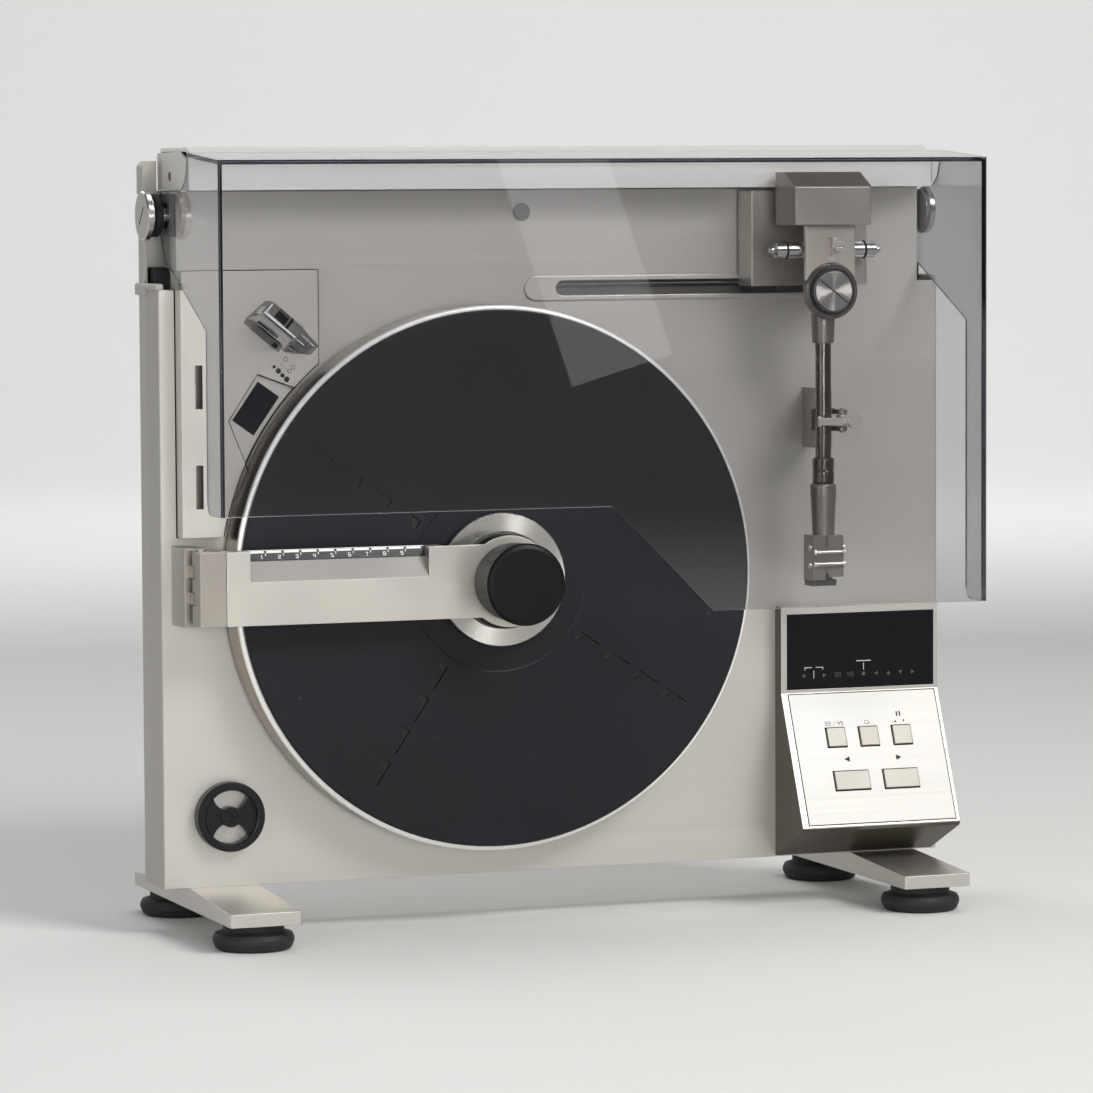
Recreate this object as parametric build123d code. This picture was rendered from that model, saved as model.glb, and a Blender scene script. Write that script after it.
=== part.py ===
from build123d import *
import os
from math import sin, cos, tan, radians, degrees, atan2, hypot, pi

os.makedirs("parts", exist_ok=True)

# ---------------------------------------------------------------- driving dimensions (mm)
# Working frame: X to the right seen from the front, Y to the back, Z up.
# Y = 0 is the face of the front panel, Z = 0 the floor, X = 0 the middle of the cabinet.
Y_SHIFT = -12.0          # moves the finished object so that its box is centred in Y
HALF_W = 229.6           # half the cabinet width
BASE_Z = 26.5            # underside of the cabinet
NOTCH_Z = 351.5          # floor of the two notches for the cover's arms
PANEL_T = 3.0            # front panel thickness
UPPER_HW = 217.4         # half width of the cabinet between the notches
PANEL_TOP = 404.4        # the panel ends just under the top bar
FRAME_D = 24.0           # depth where the chassis ends and the rear cover starts
BACK_Y = 40.0            # back of the cabinet
REAR_TOP = 421.0         # top of the rear cover
SP_X, SP_Z = -45.3, 191.7            # spindle
PLATTER_R = 150.0
PLATTER_FRONT = -24.0
MAT_R, MAT_FRONT = 147.4, -27.0
ARM_X = 142.0            # middle of the tonearm at rest
PIV_Y, PIV_Z = -42.0, 370.0          # tonearm pivot axis
SLOT_Z = 349.8           # middle height of the carriage slot
HINGE_Y, HINGE_Z = 18.0, 391.5       # cover hinge axis
COVER_HW = 221.2         # half width of the clear cover, outside
COVER_T = 2.6
COVER_FRONT = -86.0
PIN_X, PIN_Y = -216.5, -31.5         # clamp arm hinge pin
ARM_FRONT = -45.7        # face of the clamp arm


def bx(x0, x1, y0, y1, z0, z1):
    return Pos((x0 + x1) / 2, (y0 + y1) / 2, (z0 + z1) / 2) * Box(x1 - x0, y1 - y0, z1 - z0)


def cy(x, z, r, y0, y1):
    "cylinder along Y"
    return Pos(x, (y0 + y1) / 2, z) * Rot(90, 0, 0) * Cylinder(r, y1 - y0)


def cx(y, z, r, x0, x1):
    "cylinder along X"
    return Pos((x0 + x1) / 2, y, z) * Rot(0, 90, 0) * Cylinder(r, x1 - x0)


def cz(x, y, r, z0, z1):
    "cylinder along Z"
    return Pos(x, y, (z0 + z1) / 2) * Cylinder(r, z1 - z0)


def ccw(pts):
    a = sum(p[0] * q[1] - q[0] * p[1] for p, q in zip(pts, pts[1:] + pts[:1]))
    return pts if a > 0 else pts[::-1]


def ext_y(pts, y0, y1):
    "polygon of (x, z) points pulled from y0 to y1"
    f = Plane.XZ * Polygon(*ccw(pts), align=None)
    return Pos(0, y1, 0) * extrude(f, amount=y1 - y0)


def ext_x(pts, x0, x1):
    "polygon of (y, z) points pulled from x0 to x1"
    f = Plane.YZ * Polygon(*ccw(pts), align=None)
    return Pos(x0, 0, 0) * extrude(f, amount=x1 - x0)


def rev_y(pts, x, z):
    "turned shape about a line along Y through (x, z); pts are (radius, y)"
    f = Plane.XY * Polygon(*pts, align=None)
    return Pos(x, 0, z) * revolve(f, Axis.Y, 360)


def rev_x(pts, y, z):
    "turned shape about a line along X through (y, z); pts are (x, radius)"
    f = Plane.XY * Polygon(*pts, align=None)
    return Pos(0, y, z) * revolve(f, Axis.X, 360)


def rev_z(pts, x, y):
    "turned shape about a line along Z through (x, y); pts are (radius, z)"
    f = Plane.XZ * Polygon(*pts, align=None)
    return Pos(x, y, 0) * revolve(f, Axis.Z, 360)


def ring_pts(n, r, a0=0.0):
    return [(r * cos(a0 + 2 * pi * k / n), r * sin(a0 + 2 * pi * k / n)) for k in range(n)]


NODES = {}


def add(name, shape):
    NODES[name] = shape


# ---------------------------------------------------------------- cabinet
outline = [(-HALF_W, BASE_Z), (HALF_W, BASE_Z), (HALF_W, NOTCH_Z), (UPPER_HW, NOTCH_Z), (UPPER_HW, PANEL_TOP),
           (-UPPER_HW, PANEL_TOP), (-UPPER_HW, NOTCH_Z), (-HALF_W, NOTCH_Z)]
panel = ext_y(outline, 0, PANEL_T)
panel -= cy(SP_X, SP_Z, 16.05, -1, 5)
panel -= bx(2.2, 156, -1, 5, SLOT_Z - 4, SLOT_Z + 4)
panel -= cy(2.2, SLOT_Z, 4, -1, 5)
panel -= cy(156, SLOT_Z, 4, -1, 5)
panel -= bx(165, 190, -1, 5, 84, 96)
panel = chamfer(panel.edges().filter_by(Axis.Z).filter_by(lambda e: abs(e.center().Y) < 0.01 and abs(abs(e.center().X) - HALF_W) < 0.01), 0.6)
add("front_panel", panel)
plug = cy(-21.7, 392.1, 5.0, -0.6, 0)
NODES["front_panel"] = Compound(children=[panel.solids()[0], plug.solids()[0]])

T = 2.0
inner = [(-HALF_W + T, BASE_Z + T), (HALF_W - T, BASE_Z + T), (HALF_W - T, NOTCH_Z - T), (UPPER_HW - T, NOTCH_Z - T),
         (UPPER_HW - T, PANEL_TOP - T), (-UPPER_HW + T, PANEL_TOP - T), (-UPPER_HW + T, NOTCH_Z - T), (-HALF_W + T, NOTCH_Z - T)]
chassis = ext_y(outline, PANEL_T, FRAME_D) - ext_y(inner, PANEL_T - 1, FRAME_D + 1)
for s in (-1, 1):
    chassis += cx(HINGE_Y, HINGE_Z, 5.9, min(s * (UPPER_HW - 12), s * (UPPER_HW - T)), max(s * (UPPER_HW - 12), s * (UPPER_HW - T)))
    chassis -= cx(HINGE_Y, HINGE_Z, 4.06, -240 if s < 0 else 190, -190 if s < 0 else 240)
add("chassis_frame", chassis)

rear_o = [(-HALF_W, BASE_Z), (HALF_W, BASE_Z), (HALF_W, REAR_TOP), (-HALF_W, REAR_TOP)]
rear = bx(-HALF_W, HALF_W, FRAME_D, BACK_Y, BASE_Z, REAR_TOP - 16) - bx(-HALF_W + T, HALF_W - T, FRAME_D - 1, BACK_Y - T, BASE_Z + T, REAR_TOP)
rear = fillet(rear.edges().filter_by(Axis.Z).filter_by(lambda e: e.center().Y > BACK_Y - 0.1), 3.0)
# the walls beside the notches start further back, and are cut round for the hinge discs
rear -= bx(-240, -HALF_W + T + 0.01, FRAME_D - 1, 27, NOTCH_Z + 1.5, 430)
rear -= bx(HALF_W - T - 0.01, 240, FRAME_D - 1, 27, NOTCH_Z + 1.5, 430)
rear -= cx(HINGE_Y, HINGE_Z, 14.6, -240, -225) + cx(HINGE_Y, HINGE_Z, 14.6, 225, 240)
# rounded lips that finish the side walls at the notch floor
for s in (-1, 1):
    a, b = sorted((s * (HALF_W + 1.2), s * 219.0))
    lip = bx(a, b, FRAME_D, BACK_Y + 1.5, NOTCH_Z - 3.2, NOTCH_Z + 0.2)
    lip = fillet(lip.edges().filter_by(Axis.X), 1.6)
    rear += lip
    # rail along the outer edge of the notch floor, round on top and at its front end
    a, b = sorted((s * (HALF_W + 1.2), s * 226.6))
    rail = bx(a, b, 0.5, FRAME_D + 1, NOTCH_Z + 0.05, NOTCH_Z + 3.4) + bx(a, b, FRAME_D, BACK_Y + 1.5, NOTCH_Z - 3.0, NOTCH_Z + 3.4)
    rail = fillet(rail.edges().filter_by(Axis.Y).filter_by(lambda e: e.center().Z > NOTCH_Z + 3.3), 1.5)
    rear += rail
    # ear behind the hinge disc with a rounded upper corner
    a, b = sorted((s * 229.6, s * 221.8))
    ear = bx(a, b, 28.0, BACK_Y, 403.0, REAR_TOP)
    ear = fillet(ear.edges().filter_by(Axis.Y).filter_by(lambda e: e.center().Z > REAR_TOP - 0.1 and abs(e.center().X) > 229), 4.0)
    rear += ear
# cooling slots low on the back, and openings for the sockets
for k in range(14):
    xx = -110 + k * 12
    rear -= bx(xx - 2, xx + 2, BACK_Y - 4, BACK_Y + 1, 300, 336)
    rear -= cy(xx, 300, 2, BACK_Y - 4, BACK_Y + 1) + cy(xx, 336, 2, BACK_Y - 4, BACK_Y + 1)
rear -= bx(128, 166, BACK_Y - 4, BACK_Y + 1, 44, 62)
rear -= bx(-174, -122, BACK_Y - 4, BACK_Y + 1, 44, 64)
add("rear_cover", rear)

cover_screws = None
for xx, zz in ((-214, 44), (214, 44), (-214, 330), (214, 330), (0, 44), (0, 392)):
    s = cy(xx, zz, 3.2, BACK_Y, BACK_Y + 1.8) - bx(xx - 2.2, xx + 2.2, BACK_Y + 1.0, BACK_Y + 2, zz - 0.4, zz + 0.4) \
        - bx(xx - 0.4, xx + 0.4, BACK_Y + 1.0, BACK_Y + 2, zz - 2.2, zz + 2.2)
    cover_screws = s if cover_screws is None else cover_screws + s

# ---------------------------------------------------------------- top bar
BAR_F, BAR_B, BAR_LO, BAR_HI = -22.0, 39.0, 404.9, 428.2
BAR_HW = 216.2
bar_prof = [(BAR_F, BAR_LO), (BAR_F, 424.9), (-10, BAR_HI), (BAR_B, BAR_HI), (BAR_B, 405.4)]
bar_in = [(BAR_F + 2.4, BAR_LO + 2.4), (BAR_F + 2.4, 423.0), (-9.4, BAR_HI - 2.4), (BAR_B - 2.4, BAR_HI - 2.4), (BAR_B - 2.4, BAR_LO + 2.4)]
bar = ext_x(bar_prof, -BAR_HW, BAR_HW) - ext_x(bar_in, -BAR_HW - 1, BAR_HW + 1)
add("top_bar", bar)
cap_prof = [(38.4, 425.2), (-0.5, 425.8), (-14.0, 421.9), (-19.2, 419.8), (-18.8, 407.9), (-12.9, 405.2), (38.4, 405.2)]
caps = None
for s in (-1, 1):
    a, b = sorted((s * BAR_HW, s * (BAR_HW + 2.0)))
    c = ext_x(cap_prof, a, b)
    c += ext_x([(36, 423), (-8, 423), (-17, 418.8), (-17, 409.5), (36, 409.5)], *sorted((s * BAR_HW, s * (BAR_HW - 6))))
    c -= cx(14.5, 412.6, 2.3, -240 if s < 0 else 200, -200 if s < 0 else 240)
    caps = c if caps is None else caps + c
add("bar_end_caps", caps)
scr = None
for s in (-1, 1):
    a, b = sorted((s * (BAR_HW - 8), s * (BAR_HW + 0.6)))
    c = cx(14.5, 412.6, 2.25, a, b)
    a, b = sorted((s * (BAR_HW + 2.0), s * (BAR_HW + 2.15)))
    e = s * (BAR_HW + 0.6)
    a, b = sorted((e - s * 0.8, e + s * 0.1))
    c -= bx(a, b, 14.5 - 1.8, 14.5 + 1.8, 412.6 - 0.45, 412.6 + 0.45) + bx(a, b, 14.5 - 0.45, 14.5 + 0.45, 412.6 - 1.8, 412.6 + 1.8)
    scr = c if scr is None else scr + c
add("cabinet_screws", Compound(children=[q for q in scr.solids()] + [q for q in cover_screws.solids()]))

# ---------------------------------------------------------------- foot bars and feet
BARC, BARW = 195.6, 39.6
foot_prof = [(-77, 14.9), (-77, 22.1), (-2, BASE_Z), (42, BASE_Z), (110, 22.1), (110, 14.9)]
bars = []
for s in (-1, 1):
    x0 = s * BARC - BARW / 2
    b = ext_x(foot_prof, x0, x0 + BARW)
    bars.append(chamfer(b.edges().filter_by(Axis.Z), 0.8))
add("foot_bars", Compound(children=[q.solids()[0] for q in bars]))
FOOT_R = 22.0
foot_pts = [(0, 0.0), (19.0, 0.0), (20.6, 1.2), (22.0, 4.5), (22.0, 6.5), (20.8, 8.8), (17.5, 9.8), (16.5, 10.4), (16.5, 14.9), (0, 14.9)]
add("feet", Compound(children=[rev_z(foot_pts, xx, yy).solids()[0] for xx in (-BARC, BARC) for yy in (-53, 88)]))

# ---------------------------------------------------------------- raised sensor cover, window, prism
E = 11.0
sens = bx(-220.4, -143.2, -E, 0, 218.0, 361.5)
sens -= cy(SP_X, SP_Z, 154.5, -E - 1, 1)
sens = sens.solids().sort_by(SortBy.VOLUME)[-1]
sens -= ext_y([(-177.8, 305.9), (-156.4, 298.1), (-150, 292), (-182, 250), (-194.6, 280.8)], -E - 1, -E + 1.2)
for z0, z1 in ((233.5, 257.0), (287.5, 311.0)):
    sens -= bx(-212.5, -208.5, -E - 1, -E + 4, z0, z1)
sens -= bx(-218.4, -145, -E + 2, 1, 220, 359) - cy(SP_X, SP_Z, 156.6, -E - 1, 1)
sens = sens.solids().sort_by(SortBy.VOLUME)[-1]
# seat for the window and four adjuster holes
def rect_pts(cx_, cz_, l, w, ang):
    ca, sa = cos(radians(ang)), sin(radians(ang))
    return [(cx_ + a * ca - b * sa, cz_ + a * sa + b * ca) for a, b in ((-l / 2, -w / 2), (l / 2, -w / 2), (l / 2, w / 2), (-l / 2, w / 2))]
WIN = (-178.7, 287.2, 25.3, 14.6, 54.8)
sens -= ext_y(rect_pts(*WIN), -E - 1, 1)
PR_C = (-166.5, 328.5)
PR_A = -41.0
sens -= ext_y(rect_pts(PR_C[0] - 3.0, PR_C[1] + 2.5, 12, 8, PR_A), -E - 1, 1)
DOTS = [(-168.4, 309.6, 0.9), (-166.0, 307.3, 1.5), (-163.7, 304.9, 1.2), (-161.3, 302.7, 1.5)]
for a, b, r in DOTS:
    sens -= cy(a, b, r, -E - 1, -E + 1.0)
# corner cleared for the cover's arm
sens -= bx(-222, -218.0, -E - 1, 1, 351.5, 363)
add("sensor_cover", sens)
win = ext_y(rect_pts(WIN[0], WIN[1], WIN[2] - 0.0, WIN[3] - 0.0, WIN[4]), -E + 0.9, -E + 2.2)
add("sensor_window", win)
# clear prism that looks over the platter's edge: a faceted bar with a ridge, a lower nose and a foot along one side
PA = radians(-40.0)
pa, pb, pn = Vector(cos(PA), 0, sin(PA)), Vector(-sin(PA), 0, cos(PA)), Vector(0, -1, 0)
p_org = Vector(PR_C[0], -E, PR_C[1])
sect = [(-5.7, 0), (8.8, 0), (8.8, 13.4), (7.6, 15.0), (0.2, 15.0), (-0.8, 14.0)]
prism = extrude(Plane(origin=p_org + pa * -20, x_dir=pb, z_dir=pa) * Polygon(*ccw(sect), align=None), amount=44)
side_p = [(-18.6, 0), (-16.8, 15.0), (6.4, 15.0), (7.6, 11.0), (21.6, 6.0), (21.6, 0)]
prism = prism & extrude(Plane(origin=p_org + pb * 12, x_dir=pa, z_dir=-pb) * Polygon(*ccw(side_p), align=None), amount=24)
plan_p = [(-18.4, -5.7), (-15.8, 8.8), (6.4, 8.8), (21.6, 7.7), (21.0, 0.9), (10.3, -5.7)]
prism = prism & ext_y([(PR_C[0] + a_ * pa.X + b_ * pb.X, PR_C[1] + a_ * pa.Z + b_ * pb.Z) for a_, b_ in plan_p], -E - 16, -E)
foot_p = [(-17.6, -8.4), (-18.2, -5.0), (7.0, -5.0), (7.0, -8.4)]
foot_b = ext_y([(PR_C[0] + a_ * pa.X + b_ * pb.X, PR_C[1] + a_ * pa.Z + b_ * pb.Z) for a_, b_ in foot_p], -E - 2.2, -E)
groove = [(-16.0, -7.3), (-16.0, -6.7), (5.6, -6.7), (5.6, -7.3)]
foot_b -= ext_y([(PR_C[0] + a_ * pa.X + b_ * pb.X, PR_C[1] + a_ * pa.Z + b_ * pb.Z) for a_, b_ in groove], -E - 3, -E - 1.4)
prism = prism + foot_b
add("strobe_prism", prism)
trims = None
for a, b, r in DOTS:
    c = cy(a, b, r - 0.05, -E + 0.35, -E + 1.0)
    trims = c if trims is None else trims + c

# ---------------------------------------------------------------- platter, mat, spindle, motor
plat = rev_y([(18, -24), (148.2, -24), (149.4, -23.7), (150, -22.6), (150, -3.6), (149.2, -2.6), (141.5, -2.6), (141.5, -6.0),
              (143.5, -9.0), (143.5, -20.0), (18, -20.0)], SP_X, SP_Z)
add("platter", plat)
mat = rev_y([(9.1, -26.75), (50.5, -26.75), (51.2, -27.0), (MAT_R - 0.8, -27.0), (MAT_R, -26.2), (MAT_R, -24), (9.1, -24)], SP_X, SP_Z)
# three rows of four small wedge pockets
for ang, side in ((-122.9, -1), (-33.2, -1), (144.3, 1)):
    for k in range(4):
        r0 = 55.6 + k * 20.5
        a = radians(ang)
        u, v = (cos(a), sin(a)), (-sin(a), cos(a))
        P = lambda s, t: (SP_X + u[0] * s + side * v[0] * t, SP_Z + u[1] * s + side * v[1] * t)
        # wide square end towards the spindle, thin tail outwards
        mat -= ext_y([P(r0, -0.7), P(r0 + 14.8, -0.5), P(r0 + 14.8, 0.1), P(r0 + 4.2, 1.1), P(r0 + 2.0, 4.8), P(r0, 4.8)], -28, -25.0)
add("platter_mat", mat)
sp = rev_y([(0, -36.6), (1.6, -36.6), (3.0, -35.2), (3.6, -33.4), (3.6, -27.0), (9.0, -27.0), (9.0, -24), (18, -24), (18, -16.6), (5.0, -16.6), (5.0, 17.0), (3.5, 18.2), (0, 18.2)], SP_X, SP_Z)
add("spindle", sp)
mag = rev_y([(60, -20), (68, -20), (68, -8), (60, -8)], SP_X, SP_Z)
NODES["spindle"] = Compound(children=[sp.solids()[0], mag.solids()[0]])
bear = rev_y([(5.06, -15.8), (9.5, -15.8), (9.5, -9.0), (16.0, -6.0), (16.0, 3.0), (24, 3.0), (24, 6.0), (10, 6.0), (10, 21.0), (0, 21.0), (0, 19.0), (5.06, 19.0)], SP_X, SP_Z)
stat = rev_y([(16.6, -2.4), (56, -2.4), (56, -4.0), (16.6, -4.0)], SP_X, SP_Z) + rev_y([(18, -2.4), (22, -2.4), (22, 0), (18, 0)], SP_X, SP_Z)
for k in range(9):
    a = 2 * pi * k / 9
    x, z = SP_X + 38 * cos(a), SP_Z + 38 * sin(a)
    stat += cy(x, z, 11.5, -10.5, -4.0) - cy(x, z, 5.0, -11, -4.6)
add("motor_stator", Compound(children=[q for q in stat.solids()] + [bear.solids()[0]]))

# ---------------------------------------------------------------- 45 adapter on its peg
AX, AZ = -193.4, 65.3
ad = rev_y([(14.6, -7.6), (15.4, -8.2), (18.4, -8.2), (19.0, -7.4), (19.0, -1.2), (18.4, -0.5), (15.4, -0.5), (14.6, -1.2)], AX, AZ)
ad += cy(AX, AZ, 5.6, -7.2, -1.0)
web = bx(AX - 15, AX + 15, -5.6, -2.2, AZ - 15, AZ + 15) & cy(AX, AZ, 15.2, -5.6, -2.2)
web -= Pos(AX, 0, AZ + 13.4) * Rot(90, 0, 0) * Cylinder(10.2, 40)
web -= Pos(AX, 0, AZ - 13.4) * Rot(90, 0, 0) * Cylinder(10.2, 40)
ad += web
ad -= cy(AX, AZ, 3.7, -9, 1)
add("adapter_45", ad)
peg = cy(AX, AZ, 3.62, -7.0, 0)
peg -= bx(AX - 2.6, AX + 2.6, -7.5, -6.2, AZ - 0.5, AZ + 0.5) + bx(AX - 0.5, AX + 0.5, -7.5, -6.2, AZ - 2.6, AZ + 2.6)
add("adapter_peg", peg)

# ---------------------------------------------------------------- carriage slot and inner drive
bez = bx(-13.4, 166, -1.2, 0, SLOT_Z - 6.9, SLOT_Z + 6.9) + cy(-13.4, SLOT_Z, 6.9, -1.2, 0) + cy(166, SLOT_Z, 6.9, -1.2, 0)
bez -= bx(2.2, 156, -3, 1, SLOT_Z - 4, SLOT_Z + 4) + cy(2.2, SLOT_Z, 4, -3, 1) + cy(156, SLOT_Z, 4, -3, 1)
bez = chamfer(bez.faces().sort_by(Axis.Y)[0].edges(), 0.4)
add("slot_bezel", bez)
ROD_Y, ROD_LO, ROD_HI, SCREW_Z = 14.0, 338.0, 366.0, 352.0
rods = cx(ROD_Y, ROD_LO, 3.0, -40, 204) + cx(ROD_Y, ROD_HI, 3.0, -40, 204)
br = bx(-40, -34, PANEL_T, 22, 330, 374) + bx(198, 204, PANEL_T, 22, 330, 374)
br -= cx(ROD_Y, ROD_LO, 3.0, -50, 210) + cx(ROD_Y, ROD_HI, 3.0, -50, 210) + cx(ROD_Y, SCREW_Z, 2.56, -50, 210)
add("guide_rods", Compound(children=[q for q in rods.solids()] + [q for q in br.solids()]))
screw = cx(ROD_Y, SCREW_Z, 2.5, -46, 203) + cx(ROD_Y, SCREW_Z, 4.0, 204.4, 207)  + cx(ROD_Y, SCREW_Z, 2.5, 203, 204.4)
add("lead_screw", screw)
mot = cx(ROD_Y, SCREW_Z, 10.4, -78, -50) + bx(-50, -40, PANEL_T, 24.4, 345, 359) + cx(ROD_Y, SCREW_Z, 6.0, -52, -41)
mot -= cx(ROD_Y, SCREW_Z, 2.56, -60, -39)
add("carriage_motor", mot)
sl = bx(118, 166, 5, 22, 332, 372) + bx(130, 154, -2, 5, SLOT_Z - 3.0, SLOT_Z + 3.0)
sl -= cx(ROD_Y, ROD_LO, 3.05, 100, 180) + cx(ROD_Y, ROD_HI, 3.05, 100, 180) + cx(ROD_Y, SCREW_Z, 2.56, 100, 180)
add("carriage_slider", sl)

# ---------------------------------------------------------------- carriage block and tonearm
BLK_F = -21.0
blk = bx(107, 177, BLK_F, -2, 350.0, 402.9)
blk = chamfer(blk.edges().filter_by(Axis.Z).filter_by(lambda e: e.center().Y < BLK_F + 0.1), 0.5)
for a in (ARM_X - 8.6, ARM_X + 5.0):
    blk += bx(a, a + 3.6, -38, BLK_F, PIV_Z - 4.2, PIV_Z + 4.2) + cx(PIV_Y, PIV_Z, 4.2, a, a + 3.6)
# wing of the yoke that shows to the right of the arm's plate
blk += bx(ARM_X + 10.0, 166.0, -36.6, BLK_F, 354.2, 382.6)
blk -= cx(PIV_Y, PIV_Z, 2.0, 100, 190)
add("carriage_block", blk)
# pivot rod with bosses, rings and nuts
r1 = [(0, 0)]
def pivot_side(s):
    pts = [(14.95, 0), (14.95, 4.2), (15.3, 4.5), (22.9, 4.5), (22.9, 3.9), (24.1, 3.9), (24.1, 4.5), (29.6, 4.5), (30.4, 3.2),
           (31.0, 2.2), (32.6, 2.2), (33.4, 1.2), (33.4, 0)]
    p = [(ARM_X + s * a, b) for a, b in pts]
    return rev_x(p if s > 0 else p[::-1], PIV_Y, PIV_Z)
axle = cx(PIV_Y, PIV_Z, 1.98, ARM_X - 15, ARM_X + 15) + pivot_side(1) + pivot_side(-1)
add("pivot_axle", axle)
rings_o = []
for s in (-1, 1):
    t = Pos(ARM_X + s * 23.5, PIV_Y, PIV_Z) * Rot(0, 90, 0) * Torus(4.5, 0.6)
    rings_o.append((t - cx(PIV_Y, PIV_Z, 4.0, 100, 190)).solids()[0])
add("pivot_rings", Compound(children=rings_o))

PL_F = -51.0
base = bx(ARM_X - 14.8, ARM_X + 14.8, PL_F, PL_F + 3.4, 353.5, 383.6)
base += bx(ARM_X - 4.4, ARM_X + 4.4, PL_F + 3.4, PIV_Y, PIV_Z - 4.4, PIV_Z + 4.4) + cx(PIV_Y, PIV_Z, 4.4, ARM_X - 4.4, ARM_X + 4.4)
base -= cx(PIV_Y, PIV_Z, 2.03, 100, 190)
base += bx(ARM_X - 6.0, ARM_X + 6.0, PL_F + 3.4, PL_F + 13, 353.5, 358.0)
base -= bx(ARM_X - 2.4, ARM_X + 0.8, PL_F - 1, PL_F + 1.6, 366.5, 377.0)
base = chamfer(base.faces().sort_by(Axis.Y)[0].outer_wire().edges(), 0.4)
add("arm_base", base)
tab = bx(ARM_X - 1.9, ARM_X + 1.9, PL_F - 1.2, PL_F, 363.4, 366.4) + cy(ARM_X + 4.6, 371.8, 3.0, PL_F - 1.8, PL_F)
tab += bx(ARM_X + 0.8, ARM_X + 4.6, PL_F - 1.0, PL_F, 371.0, 376.6)
tab -= bx(ARM_X + 2.4, ARM_X + 6.8, PL_F - 2.5, PL_F - 1.2, 371.5, 372.1)
add("arm_lock_tab", tab)
# counterweight: block with a sloping top
cw = ext_x([(-54.6, 383.8), (-54.6, 405.2), (-39, 413.2), (-27.2, 413.2), (-27.2, 383.8)], ARM_X - 23, ARM_X + 23)
cw = chamfer(cw.edges().filter_by(lambda e: abs(e.center().Y + 54.6) < 0.05), 0.5)
add("counterweight", cw)
DZ = 347.4
ring = rev_y([(0, PL_F + 6), (12, PL_F + 6), (15.6, PL_F + 3.2), (15.6, PL_F - 1.0), (14.8, PL_F - 1.8), (13.4, PL_F - 1.8), (13.4, PL_F + 0.4), (2.06, PL_F + 0.4), (2.06, PL_F + 4.4), (0, PL_F + 4.4)], ARM_X, DZ)
ring -= bx(ARM_X - 14.8, ARM_X + 14.8, PL_F - 0.0, PL_F + 3.4, 353.5, 370) + bx(ARM_X - 6.0, ARM_X + 6.0, PL_F + 3.4, PL_F + 13, 353.5, 358.0)
add("dial_seat", ring)
dial = rev_y([(0, PL_F - 4.4), (10.8, -4.4 + PL_F), (11.6, PL_F - 3.8), (11.6, PL_F - 0.1), (2.0, PL_F - 0.1), (2.0, PL_F + 4.0), (0, PL_F + 4.0)], ARM_X, DZ)
dial -= Pos(ARM_X, PL_F - 4.4, DZ) * Rot(0, 38, 0) * Box(22, 0.7, 0.7)
add("force_dial", dial)
dr = rev_y([(11.6, PL_F - 2.9), (12.2, PL_F - 3.3), (12.9, PL_F - 2.6), (12.9, PL_F - 1.0), (11.6, PL_F - 1.0)], ARM_X, DZ)
add("dial_ring", dr)

TY = -40.0
col = rev_z([(0, 331.5), (0, 354.0), (6.4, 354.0), (6.6, 337.0), (6.6, 331.4), (6.1, 318.4), (4.46, 318.4), (4.46, 331.5)], ARM_X, TY)
col = col - cy(ARM_X, DZ, 15.75, PL_F - 3, PL_F + 6.1) - bx(ARM_X - 6.01, ARM_X + 6.01, PL_F + 2, PL_F + 13.01, 353.5, 360)
add("arm_collar", col)
tube = rev_z([(0, 331.5), (4.42, 331.5), (4.42, 250.0), (0, 250.0)], ARM_X, TY)
hc = rev_z([(0, 250), (4.42, 250), (4.42, 254.8), (5.4, 254.6), (6.15, 253.6), (6.15, 248.4), (5.7, 248.0), (5.7, 247.2), (6.15, 246.8), (6.15, 241.0), (5.4, 240.0), (0, 240.0)], ARM_X, TY)
add("arm_tube", tube + hc)
hs = rev_z([(0, 240), (6.6, 240), (7.3, 239.2), (7.3, 234.5), (6.9, 228), (6.15, 211.5), (0, 211.5)], ARM_X, TY)
add("head_socket", hs)
shell = bx(ARM_X - 9.0, ARM_X - 1.0, -46.5, -33.5, 186.6, 211.5) + bx(ARM_X + 0.4, ARM_X + 9.6, -46.5, -33.5, 188.2, 211.5) + bx(ARM_X - 1.2, ARM_X + 0.6, -45.0, -35, 190, 211.5)
shell -= bx(ARM_X - 1.0, ARM_X + 0.4, -47, -45.0, 205, 212)
shell = chamfer(shell.edges().filter_by(Axis.Z).filter_by(lambda e: e.center().Y < -46.4), 0.5)
shell -= bx(ARM_X - 7.4, ARM_X + 8.0, -47, -42.6, 196.5, 203.6)
shell -= cx(-44.0, 204.6, 1.05, 120, 160) + cx(-44.0, 194.8, 1.05, 120, 160)
add("headshell", shell)
rr = cx(-44.0, 204.6, 1.0, ARM_X - 10.2, ARM_X + 10.8) + cx(-44.0, 194.8, 1.0, ARM_X - 10.2, ARM_X + 10.8)
for zz in (204.6, 194.8):
    rr += cx(-44.0, zz, 1.7, ARM_X + 9.6, ARM_X + 10.8) + cx(-44.0, zz, 1.7, ARM_X - 10.2, ARM_X - 9.0)
add("head_rods", rr)
cart = bx(ARM_X - 8.2, ARM_X + 8.2, -33.5, -31.4, 186.0, 206.0) + bx(ARM_X - 8.6, ARM_X + 6.0, -44.5, -33.5, 183.2, 186.6) + bx(ARM_X - 6, ARM_X + 6, -33.5, -31.4, 184, 208)
add("cartridge", cart)
sty = ext_x([(-31.4, 195), (-30.4, 195), (-30.0, 191.9), (-29.0, 191.9), (-29.0, 191.5), (-30.2, 191.2), (-30.4, 190), (-31.4, 188.5)], ARM_X - 0.5, ARM_X + 0.5)
sty += bx(ARM_X - 3, ARM_X + 3, -31.4, -30.5, 187.6, 198)
NODES["cartridge"] = cart + sty

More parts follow.
